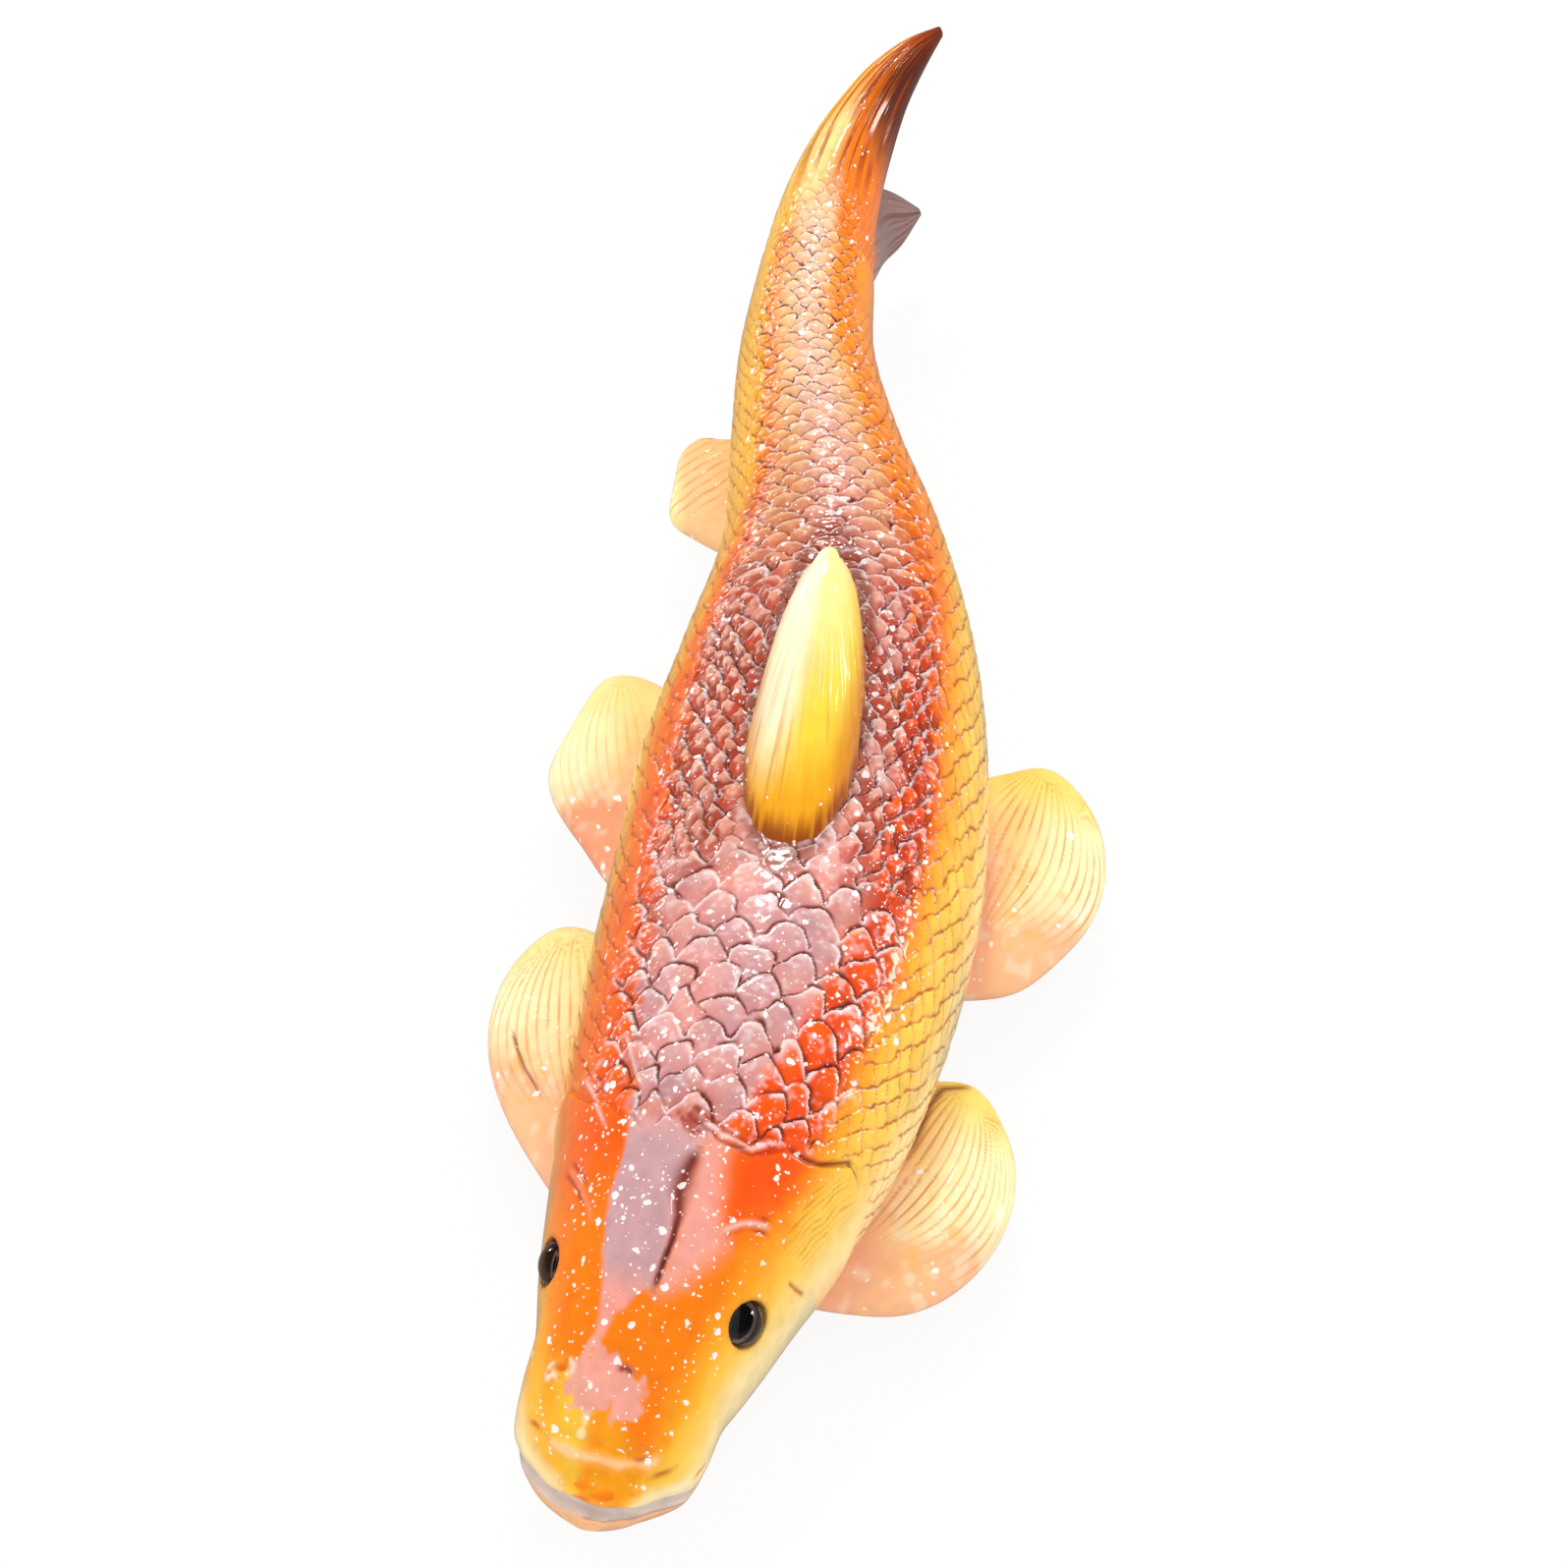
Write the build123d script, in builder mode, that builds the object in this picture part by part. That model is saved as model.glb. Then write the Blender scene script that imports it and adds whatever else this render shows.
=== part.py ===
from build123d import *
import math
import os

os.makedirs("parts", exist_ok=True)

# A koi figurine that lies on its belly, head towards -Y, its own left towards +X.
# The origin is on the flat of the belly. Lengths are in millimetres.

# Body: length that the spine's shares refer to, girth and ridge height
body_length = 200.0
body_width = 52.8
body_height = 50.0

# Walls of the hollow casting
wall = 3.5
floor_thickness = 3.6
parting_height = 6.0
glue_gap = 0.2

# Lip that locates the belly plate inside the shell
lip_height = 2.8
lip_thickness = 2.0
lip_gap = 0.4
lip_steps = 12

# Mouth groove
mouth_width = 24.4
mouth_height = 12.4
mouth_groove = 2.2
mouth_stand = 0.4

# Eyes: glass domes over painted discs, in blind sockets
eye_diameter = 6.0
eye_height = 29.6
eye_socket_depth = 2.2
eye_disc_thickness = 0.6
eye_dome_rise = 1.4

# Tail fin
tail_length = 40.0
lobe_inset = 1.0
tail_spigot_length = 9.0
tail_spigot_width = 7.0
tail_spigot_height = 13.0

# Dorsal fin, with a spigot through the wall of the back
dorsal_length = 46.0
dorsal_width = 15.4
dorsal_rise = 15.5
dorsal_turn = 1.5
dorsal_spigot_length = 22.0
dorsal_spigot_width = 5.0

# Paired fins and the anal fin, each with a flat tenon through the wall
pectoral_span = 20.4
pectoral_chord = 42.0
pectoral_thickness = 6.4
left_pelvic_span = 19.4
left_pelvic_chord = 42.0
right_pelvic_span = 17.4
right_pelvic_chord = 37.0
pelvic_thickness = 6.4
anal_span = 11.6
anal_chord = 18.0
anal_thickness = 4.6
fin_root_rise = 6.4
anal_root_height = 14.5
fin_droop = 9.0
tenon_thickness = 2.4
tenon_reach = 1.6

# Ballast bar that lies on the belly plate
ballast_length = 64.0
ballast_width = 15.0
ballast_height = 7.0
ballast_corner = 3.0

# Stopper of the fill hole in the belly plate
plug_diameter = 9.4
plug_head_diameter = 12.4
plug_head_thickness = 1.4
plug_recess_depth = 1.8
plug_bulge = 1.2

# One overrun serves all cuts that have to pass a face
overrun = 2.0

# Body stations from snout to tail joint: place along the length, then sideways place and
# half width in half widths of the body, then ridge, widest level and underside in heights
body_shares = [
    (-0.587, -0.326, 0.114, 0.300, 0.244, 0.192),
    (-0.581, -0.318, 0.242, 0.364, 0.252, 0.160),
    (-0.571, -0.303, 0.356, 0.436, 0.272, 0.128),
    (-0.555, -0.280, 0.460, 0.512, 0.300, 0.100),
    (-0.527, -0.242, 0.518, 0.604, 0.340, 0.064),
    (-0.490, -0.189, 0.553, 0.710, 0.390, 0.024),
    (-0.440, -0.121, 0.652, 0.820, 0.430, -0.008),
    (-0.375, -0.034, 0.773, 0.900, 0.450, -0.028),
    (-0.300, 0.061, 0.894, 0.950, 0.470, -0.040),
    (-0.210, 0.136, 0.973, 0.970, 0.480, -0.040),
    (-0.100, 0.178, 1.000, 0.980, 0.480, -0.040),
    (0.010, 0.150, 0.958, 0.970, 0.490, -0.040),
    (0.120, 0.105, 0.815, 0.940, 0.500, -0.020),
    (0.220, 0.010, 0.622, 0.900, 0.520, 0.060),
    (0.310, -0.190, 0.485, 0.860, 0.540, 0.180),
    (0.400, -0.345, 0.386, 0.830, 0.560, 0.280),
    (0.470, -0.371, 0.337, 0.830, 0.590, 0.340),
]
# Heading of the spine at each body station, in degrees from +Y towards +X
body_headings = [12, 12, 12, 12, 12, 12, 11, 10, 8, 4, 0, -4, -8, -10, -10, -6, 2]

# Tail stations behind the joint: place along and sideways in tail lengths, then half
# thickness in half widths of the body, and top, middle and bottom in body heights
upper_lobe_shares = [
    (0.200, 0.000, 0.303, 0.852, 0.630, 0.400),
    (0.400, 0.025, 0.265, 0.880, 0.680, 0.460),
    (0.600, 0.080, 0.212, 0.912, 0.740, 0.550),
    (0.775, 0.165, 0.152, 0.940, 0.832, 0.720),
    (0.890, 0.250, 0.095, 0.952, 0.888, 0.820),
    (0.965, 0.330, 0.030, 0.952, 0.932, 0.912),
]
upper_lobe_headings = [6, 13, 22, 32, 42, 50]
lower_lobe_shares = [
    (0.200, 0.015, 0.296, 0.760, 0.520, 0.290),
    (0.375, 0.065, 0.224, 0.660, 0.440, 0.240),
    (0.550, 0.135, 0.150, 0.560, 0.370, 0.210),
    (0.675, 0.205, 0.104, 0.440, 0.310, 0.200),
    (0.790, 0.285, 0.030, 0.290, 0.270, 0.250),
]
lower_lobe_headings = [8, 18, 27, 34, 38]

# Places that bound the hollow inside the body, in body lengths
hollow_front_share = -0.527
hollow_rear_share = 0.310

# Dorsal fin levels: height in rises above the ridge, then widest place, front and rear
# reach in fin lengths from the fin's place on the back, then width in fin widths
dorsal_level_shares = [
    (-0.420, 0.010, 0.350, 0.650, 0.985),
    (0.000, 0.020, 0.350, 0.630, 1.000),
    (0.320, 0.140, 0.300, 0.500, 0.900),
    (0.650, 0.290, 0.230, 0.320, 0.680),
    (0.880, 0.420, 0.130, 0.150, 0.390),
    (1.000, 0.490, 0.050, 0.055, 0.150),
]

# Places along the body, in body lengths
dorsal_share = -0.065
eye_share = -0.459
mouth_share = -0.528
plug_share = -0.335
ballast_share = -0.105
left_pectoral_share = -0.362
right_pectoral_share = -0.325
left_pelvic_share = -0.104
right_pelvic_share = -0.043
anal_share = 0.284
lip_front_share = -0.480
lip_rear_share = 0.120
# Small step used to take the slope of the skin
normal_step_share = 0.02

# Fin outlines: outward in spans, then backward in chords, once round from the front root
left_pectoral_outline_shares = [
    (-0.28, -0.10), (0.20, -0.07), (0.54, 0.00), (0.80, 0.14), (0.95, 0.33), (0.97, 0.53),
    (0.86, 0.71), (0.66, 0.84), (0.42, 0.92), (0.14, 0.88), (-0.28, 0.74),
]
right_pectoral_outline_shares = [
    (-0.28, -0.26), (0.14, -0.10), (0.45, 0.05), (0.77, 0.24), (0.99, 0.45), (1.06, 0.66),
    (0.98, 0.85), (0.80, 0.96), (0.46, 0.95), (0.10, 0.89), (-0.28, 0.80),
]
left_pelvic_outline_shares = [
    (-0.28, -0.10), (0.18, -0.07), (0.44, -0.01), (0.70, 0.14), (0.90, 0.32), (0.97, 0.52),
    (0.88, 0.73), (0.68, 0.87), (0.40, 0.95), (0.10, 0.89), (-0.28, 0.78),
]
right_pelvic_outline_shares = [
    (-0.28, -0.24), (0.30, -0.06), (0.59, 0.13), (0.87, 0.32), (0.98, 0.48), (0.90, 0.66),
    (0.77, 0.84), (0.58, 0.98), (0.36, 0.98), (0.10, 0.92), (-0.28, 0.80),
]
anal_outline_shares = [
    (-0.28, -0.40), (0.40, -0.17), (0.80, 0.05), (1.02, 0.22), (1.02, 0.44), (0.95, 0.72),
    (0.82, 0.98), (0.62, 1.07), (0.30, 1.04), (-0.28, 1.02),
]
# Levels of a fin's cushion: height in thicknesses, then outline size about its middle
cushion_shares = [(-0.50, 0.80), (-0.22, 0.97), (0.10, 1.00), (0.34, 0.90), (0.50, 0.70)]
fin_middle_share = (0.42, 0.48)

half_width = body_width / 2


def lateral(heading):
    # Unit vector across the spine, towards the fish's left
    turn = math.radians(heading)
    return Vector(math.cos(turn), -math.sin(turn), 0)


def forward(heading):
    # Unit vector along the spine, towards the tail
    turn = math.radians(heading)
    return Vector(math.sin(turn), math.cos(turn), 0)


def body_station(index):
    # Real sizes of one body station: x, y, heading, half width, ridge, middle, underside
    along, side, width, top, middle, bottom = body_shares[index]
    levels = [share * body_height for share in (top, middle, bottom)]
    return (side * half_width, along * body_length, body_headings[index],
            width * half_width, *levels)


def body_at(along_share):
    # Station values between two stations, in proportion to the place along the body
    places = [row[0] for row in body_shares]
    index = max(i for i, place in enumerate(places[:-1]) if place <= along_share)
    part = (along_share - places[index]) / (places[index + 1] - places[index])
    near = body_station(index)
    far = body_station(index + 1)
    return [a + (b - a) * part for a, b in zip(near, far)]


def tail_station(shares, heading):
    # Real sizes of one tail station, in the order of a body station
    along, side, width, top, middle, bottom = shares
    root_x, root_y = body_station(-1)[:2]
    levels = [share * body_height for share in (top, middle, bottom)]
    return (root_x + side * tail_length, root_y + along * tail_length, heading,
            width * half_width, *levels)


def section(station, inset=0):
    # Upright section across the spine: two half ellipses that meet at the widest level
    x, y, heading, width, top, middle, bottom = station
    plane = Plane(origin=(x, y, 0), x_dir=lateral(heading), z_dir=-forward(heading))
    width = width - inset
    with BuildSketch(plane) as profile:
        with BuildLine():
            EllipticalCenterArc((0, middle), width, top - inset - middle, arc_size=180)
            EllipticalCenterArc((0, middle), width, middle - bottom - inset, 180, arc_size=180)
        make_face()
    return profile.sketch


def side_reach(station, height, inset=0):
    # Half width of a section at a height, from its ellipse
    x, y, heading, width, top, middle, bottom = station
    depth = top - middle if height > middle else middle - bottom
    share = (height - middle) / (depth - inset)
    return (width - inset) * math.sqrt(max(0, 1 - share * share))


def skin_point(along_share, height, side):
    # Point of the skin at a height, on the left (side 1) or the right (side -1)
    station = body_at(along_share)
    reach = side * side_reach(station, height)
    return Vector(station[0], station[1], height) + lateral(station[2]) * reach


def skin_normal(along_share, height, side):
    # Outward direction of the skin there, from two chords along and up the body
    rise = normal_step_share * body_height
    ahead = skin_point(along_share + normal_step_share, height, side)
    behind = skin_point(along_share - normal_step_share, height, side)
    above = skin_point(along_share, height + rise, side)
    below = skin_point(along_share, height - rise, side)
    return ((above - below).cross(ahead - behind) * -side).normalized()


body_stations = [body_station(i) for i in range(len(body_shares))]
ridge_level = body_at(dorsal_share)[4]
fin_root_height = parting_height + fin_root_rise
hollow_stations = [
    station for station, row in zip(body_stations, body_shares)
    if hollow_front_share <= row[0] <= hollow_rear_share
]

# Outer form of the body, cut flat where it rests
with BuildPart() as body_form:
    loft([section(station) for station in body_stations])
    split(bisect_by=Plane.XY, keep=Keep.TOP)

# Hollow inside the body, flat over the belly plate's floor
with BuildPart() as cavity_form:
    loft([section(station, wall) for station in hollow_stations])
    split(bisect_by=Plane.XY.offset(floor_thickness), keep=Keep.TOP)


def fin_plane(along_share, height, side):
    # Frame at a fin's front root: x outward and drooping, y towards the tail
    station = body_at(along_share)
    root = skin_point(along_share, height, side)
    outward = lateral(station[2]) * side
    droop = math.radians(fin_droop)
    x_dir = outward * math.cos(droop) - Vector(0, 0, math.sin(droop))
    up = x_dir.cross(forward(station[2])) * side
    return Plane(origin=root, x_dir=x_dir, z_dir=up)


def fin_form(plane, outline_shares, span, chord, thickness, side):
    # Cushion through copies of one outline, drawn in towards the top and the underside
    middle_x = fin_middle_share[0] * span
    middle_y = fin_middle_share[1] * chord
    levels = []
    for level_share, size_share in cushion_shares:
        points = []
        for out, back in outline_shares:
            x = middle_x + (out * span - middle_x) * size_share
            y = middle_y + (back * chord - middle_y) * size_share
            points.append((x, y * side))
        with BuildSketch(plane.offset(level_share * thickness)) as level:
            with BuildLine():
                Spline(points, periodic=True)
            make_face()
        levels.append(level.sketch)
    with BuildPart() as cushion:
        loft(levels)
    return cushion.part


def tenon_form(plane, chord_share, chord, width, side, gap=0):
    # Flat tongue from inside the fin through the wall of the body
    inside = wall + tenon_reach + overrun
    outside = overrun + overrun
    length = inside + outside
    middle = (outside - inside) / 2
    with BuildPart(plane) as tongue:
        with Locations((middle, chord_share * chord * side, 0)):
            Box(length + gap, width + 2 * gap, tenon_thickness + 2 * gap)
    return tongue.part


# One row for each side fin: name, place, root height, side, outline, span, chord, thickness
side_fins = [
    ("left_pectoral_fin", left_pectoral_share, fin_root_height, 1,
     left_pectoral_outline_shares, pectoral_span, pectoral_chord, pectoral_thickness),
    ("right_pectoral_fin", right_pectoral_share, fin_root_height, -1,
     right_pectoral_outline_shares, pectoral_span, pectoral_chord, pectoral_thickness),
    ("left_pelvic_fin", left_pelvic_share, fin_root_height, 1,
     left_pelvic_outline_shares, left_pelvic_span, left_pelvic_chord, pelvic_thickness),
    ("right_pelvic_fin", right_pelvic_share, fin_root_height, -1,
     right_pelvic_outline_shares, right_pelvic_span, right_pelvic_chord, pelvic_thickness),
    ("anal_fin", anal_share, anal_root_height, -1,
     anal_outline_shares, anal_span, anal_chord, anal_thickness),
]
# A tenon's middle along the chord, and its width, both in chords
tenon_place_share = 0.28
tenon_width_share = 0.26

slots = []
for name, place, height, side, outline, span, chord, thickness in side_fins:
    plane = fin_plane(place, height, side)
    width = tenon_width_share * chord
    slots.append(tenon_form(plane, tenon_place_share, chord, width, side, glue_gap))
    with BuildPart() as fin:
        add(fin_form(plane, outline, span, chord, thickness, side))
        add(body_form.part, mode=Mode.SUBTRACT)
        add(tenon_form(plane, tenon_place_share, chord, width, side))
    fin.part.label = name
    export_step(fin.part, "parts/" + name + ".step")


# Eyes: frame on the skin, z outward
def eye_plane(side):
    normal = skin_normal(eye_share, eye_height, side)
    return Plane(origin=skin_point(eye_share, eye_height, side), z_dir=normal)


eye_radius = eye_diameter / 2
eye_dome_radius = (eye_radius ** 2 + eye_dome_rise ** 2) / (2 * eye_dome_rise)
eye_planes = {"left": eye_plane(1), "right": eye_plane(-1)}
for side_name, plane in eye_planes.items():
    with BuildPart() as eye_iris:
        with BuildSketch(plane.offset(-eye_socket_depth)):
            Circle(eye_radius)
        extrude(amount=eye_disc_thickness)
    eye_iris.part.label = side_name + "_eye_iris"
    export_step(eye_iris.part, "parts/" + side_name + "_eye_iris.step")

    with BuildPart() as eye_glass:
        with BuildSketch(plane.offset(eye_disc_thickness - eye_socket_depth)):
            Circle(eye_radius)
        extrude(amount=eye_socket_depth - eye_disc_thickness + eye_dome_rise)
        with Locations(plane.offset(eye_dome_rise - eye_dome_radius)):
            Sphere(eye_dome_radius, mode=Mode.INTERSECT)
    eye_glass.part.label = side_name + "_eye_glass"
    export_step(eye_glass.part, "parts/" + side_name + "_eye_glass.step")

# Dorsal fin: level egg-shaped sections, drawn back as they rise
dorsal_x, dorsal_y, dorsal_heading = body_at(dorsal_share)[:3]
dorsal_heading = dorsal_heading + dorsal_turn
dorsal_levels = []
for level, widest, front, rear, width in dorsal_level_shares:
    level_plane = Plane(
        origin=(dorsal_x, dorsal_y, ridge_level + level * dorsal_rise),
        x_dir=lateral(dorsal_heading),
    )
    reach = width * dorsal_width / 2
    with BuildSketch(level_plane) as dorsal_level:
        with BuildLine():
            centre = (0, (widest - dorsal_level_shares[0][1]) * dorsal_length)
            EllipticalCenterArc(centre, reach, rear * dorsal_length, arc_size=180)
            EllipticalCenterArc(centre, reach, front * dorsal_length, 180, arc_size=180)
        make_face()
    dorsal_levels.append(dorsal_level.sketch)
dorsal_top_plane = Plane(
    origin=(dorsal_x, dorsal_y, ridge_level + overrun), x_dir=lateral(dorsal_heading)
)
dorsal_spigot_depth = wall + tenon_reach + overrun


def dorsal_spigot(gap=0):
    # Tongue that stands through the back under the dorsal fin
    with BuildPart() as spigot:
        with BuildSketch(dorsal_top_plane):
            RectangleRounded(
                dorsal_spigot_width + 2 * gap, dorsal_spigot_length + 2 * gap,
                dorsal_spigot_width / 3,
            )
        extrude(amount=-dorsal_spigot_depth - gap)
    return spigot.part


with BuildPart() as dorsal_fin:
    loft(dorsal_levels)
    add(body_form.part, mode=Mode.SUBTRACT)
    add(dorsal_spigot())
dorsal_fin.part.label = "dorsal_fin"
export_step(dorsal_fin.part, "parts/dorsal_fin.step")

# Tail fin: two lobes that leave the tail joint as one and part at the fork
tail_root = body_stations[-1]
tail_plane = Plane(
    origin=(tail_root[0], tail_root[1], tail_root[5]),
    x_dir=lateral(tail_root[2]),
    z_dir=-forward(tail_root[2]),
)


def tail_spigot(gap=0):
    # Tongue that runs from the tail joint into the solid tail stock
    with BuildPart() as spigot:
        with BuildSketch(tail_plane.offset(-overrun)):
            RectangleRounded(
                tail_spigot_width + 2 * gap, tail_spigot_height + 2 * gap, tail_spigot_width / 3
            )
        extrude(amount=tail_spigot_length + overrun + gap)
    return spigot.part


def lobe_sections(shares, headings, inset=0):
    # Sections of one lobe, from the tail joint, where it may lie inside the other, to its tip
    stations = [tail_station(row, heading) for row, heading in zip(shares, headings)]
    return [section(tail_root, inset)] + [section(station) for station in stations]


with BuildPart() as tail_fin:
    loft(lobe_sections(upper_lobe_shares, upper_lobe_headings))
    loft(lobe_sections(lower_lobe_shares, lower_lobe_headings, lobe_inset))
    add(tail_spigot())
tail_fin.part.label = "tail_fin"
export_step(tail_fin.part, "parts/tail_fin.step")

# Mouth groove round the snout, out to a little before its tip
mouth_x, mouth_y, mouth_heading = body_at(mouth_share)[:3]
mouth_radius = mouth_width / 2
mouth_reach = mouth_y - body_stations[0][1] + mouth_stand
mouth_plane = Plane(origin=(mouth_x, mouth_y, mouth_height), x_dir=lateral(mouth_heading))
with BuildPart() as mouth_form:
    with BuildLine(mouth_plane):
        EllipticalCenterArc((0, 0), mouth_radius, mouth_reach, 180, arc_size=180)
    mouth_start = mouth_plane.from_local_coords(Vector(-mouth_radius, 0, 0))
    with BuildSketch(Plane(origin=mouth_start, z_dir=-forward(mouth_heading))):
        Circle(mouth_groove / 2)
    sweep()

# Back shell: head and body above the parting plane, hollow, with sockets and slots
with BuildPart() as back_shell:
    add(body_form.part)
    split(bisect_by=Plane.XY.offset(parting_height), keep=Keep.TOP)
    add(cavity_form.part, mode=Mode.SUBTRACT)
    add(slots, mode=Mode.SUBTRACT)
    add(dorsal_spigot(glue_gap), mode=Mode.SUBTRACT)
    add(tail_spigot(glue_gap), mode=Mode.SUBTRACT)
    add(mouth_form.part, mode=Mode.SUBTRACT)
    for plane in eye_planes.values():
        with BuildSketch(plane.offset(-eye_socket_depth)):
            Circle(eye_radius + glue_gap)
        extrude(amount=eye_socket_depth + overrun, mode=Mode.SUBTRACT)
back_shell.part.label = "back_shell"
export_step(back_shell.part, "parts/back_shell.step")


def lip_outline(inset):
    # Plan of the hollow at the parting plane, drawn in and closed round both ends
    left = []
    right = []
    for step in range(lip_steps + 1):
        place = lip_front_share + (lip_rear_share - lip_front_share) * step / lip_steps
        station = body_at(place)
        reach = side_reach(station, parting_height, wall) - inset
        spot = Vector(station[0], station[1], 0)
        left.append(spot + lateral(station[2]) * reach)
        right.append(spot - lateral(station[2]) * reach)
        if step == 0:
            nose = spot - forward(station[2]) * reach / 2
    heel = spot + forward(station[2]) * reach / 2
    points = [nose] + left + [heel] + right[::-1]
    return [(point.X, point.Y) for point in points]


# Belly plate: floor and rim below the parting plane, a lip inside the shell, a fill hole
plug_x, plug_y = body_at(plug_share)[:2]
plug_radius = plug_diameter / 2
plug_head_radius = plug_head_diameter / 2
lip_top = parting_height + lip_height
with BuildPart() as belly_plate:
    add(body_form.part)
    split(bisect_by=Plane.XY.offset(parting_height), keep=Keep.BOTTOM)
    add(cavity_form.part, mode=Mode.SUBTRACT)
    with BuildSketch(Plane.XY.offset(floor_thickness / 2)):
        with BuildLine():
            Spline(lip_outline(lip_gap), periodic=True)
        make_face()
        with BuildLine():
            Spline(lip_outline(lip_gap + lip_thickness), periodic=True)
        make_face(mode=Mode.SUBTRACT)
    extrude(amount=lip_top - floor_thickness / 2)
    with BuildSketch(Plane.XY):
        with Locations((plug_x, plug_y)):
            Circle(plug_head_radius + glue_gap)
    extrude(amount=plug_recess_depth, mode=Mode.SUBTRACT)
    with BuildSketch(Plane.XY):
        with Locations((plug_x, plug_y)):
            Circle(plug_radius + glue_gap)
    extrude(amount=floor_thickness + overrun, mode=Mode.SUBTRACT)
belly_plate.part.label = "belly_plate"
export_step(belly_plate.part, "parts/belly_plate.step")

# Stopper: a head that seats in the recess and a stem through the floor
with BuildPart() as belly_plug:
    with BuildSketch(Plane.XY.offset(plug_recess_depth - plug_head_thickness)):
        with Locations((plug_x, plug_y)):
            Circle(plug_head_radius)
    extrude(amount=plug_head_thickness)
    with BuildSketch(Plane.XY.offset(plug_recess_depth)):
        with Locations((plug_x, plug_y)):
            Circle(plug_radius)
    extrude(amount=floor_thickness - plug_recess_depth + plug_bulge)
belly_plug.part.label = "belly_plug"
export_step(belly_plug.part, "parts/belly_plug.step")

# Ballast bar on the floor, between the lips
ballast_x, ballast_y, ballast_heading = body_at(ballast_share)[:3]
with BuildPart() as ballast_bar:
    with BuildSketch(
        Plane(origin=(ballast_x, ballast_y, floor_thickness), x_dir=lateral(ballast_heading))
    ):
        RectangleRounded(ballast_width, ballast_length, ballast_corner)
    extrude(amount=ballast_height)
ballast_bar.part.label = "ballast_bar"
export_step(ballast_bar.part, "parts/ballast_bar.step")
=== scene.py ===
import math
from types import SimpleNamespace

import bpy
import numpy as np
from bpy.props import FloatProperty, FloatVectorProperty, IntProperty, PointerProperty
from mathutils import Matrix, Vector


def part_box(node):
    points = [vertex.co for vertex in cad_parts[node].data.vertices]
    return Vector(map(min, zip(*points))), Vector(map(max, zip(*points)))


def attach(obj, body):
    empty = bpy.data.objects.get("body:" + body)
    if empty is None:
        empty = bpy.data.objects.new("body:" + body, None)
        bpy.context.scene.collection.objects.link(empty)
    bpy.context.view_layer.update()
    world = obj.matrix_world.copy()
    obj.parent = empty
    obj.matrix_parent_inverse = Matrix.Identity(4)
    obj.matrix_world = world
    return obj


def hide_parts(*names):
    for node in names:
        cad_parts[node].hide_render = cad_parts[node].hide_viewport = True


bl_info = {
    "name": "Koi figurine",
    "version": (1, 0, 0),
    "blender": (4, 5, 0),
    "location": "View3D > Sidebar > Koi",
    "description": "Painted koi figurine with modelled scales, rayed fins and glass eyes",
    "category": "Object",
}

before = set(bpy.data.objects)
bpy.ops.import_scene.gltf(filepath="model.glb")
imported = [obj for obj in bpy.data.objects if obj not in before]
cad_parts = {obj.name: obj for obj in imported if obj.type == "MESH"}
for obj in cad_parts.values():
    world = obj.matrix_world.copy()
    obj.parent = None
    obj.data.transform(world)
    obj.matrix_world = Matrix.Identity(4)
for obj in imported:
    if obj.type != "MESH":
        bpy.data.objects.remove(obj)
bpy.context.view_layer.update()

MM = 0.001
WHITE = (1, 1, 1, 1)

# Body: the length that the shares refer to, half of its width, its height
BODY_LENGTH = 200 * MM
HALF_WIDTH = 26.4 * MM
BODY_HEIGHT = 50 * MM
PARTING_HEIGHT = 6 * MM

# Body stations from snout to tail joint: place along the length, then sideways place and
# half width in half widths of the body, then ridge, widest level and underside in heights
BODY_SHARES = np.array([
    (-0.587, -0.326, 0.114, 0.300, 0.244, 0.192),
    (-0.581, -0.318, 0.242, 0.364, 0.252, 0.160),
    (-0.571, -0.303, 0.356, 0.436, 0.272, 0.128),
    (-0.555, -0.280, 0.460, 0.512, 0.300, 0.100),
    (-0.527, -0.242, 0.518, 0.604, 0.340, 0.064),
    (-0.490, -0.189, 0.553, 0.710, 0.390, 0.024),
    (-0.440, -0.121, 0.652, 0.820, 0.430, -0.008),
    (-0.375, -0.034, 0.773, 0.900, 0.450, -0.028),
    (-0.300, 0.061, 0.894, 0.950, 0.470, -0.040),
    (-0.210, 0.136, 0.973, 0.970, 0.480, -0.040),
    (-0.100, 0.178, 1.000, 0.980, 0.480, -0.040),
    (0.010, 0.150, 0.958, 0.970, 0.490, -0.040),
    (0.120, 0.105, 0.815, 0.940, 0.500, -0.020),
    (0.220, 0.010, 0.622, 0.900, 0.520, 0.060),
    (0.310, -0.190, 0.485, 0.860, 0.540, 0.180),
    (0.400, -0.345, 0.386, 0.830, 0.560, 0.280),
    (0.470, -0.371, 0.337, 0.830, 0.590, 0.340),
])
# Heading of the spine at each body station, in degrees from +Y towards +X
BODY_HEADINGS = np.array([12, 12, 12, 12, 12, 12, 11, 10, 8, 4, 0, -4, -8, -10, -10, -6, 2])

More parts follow.
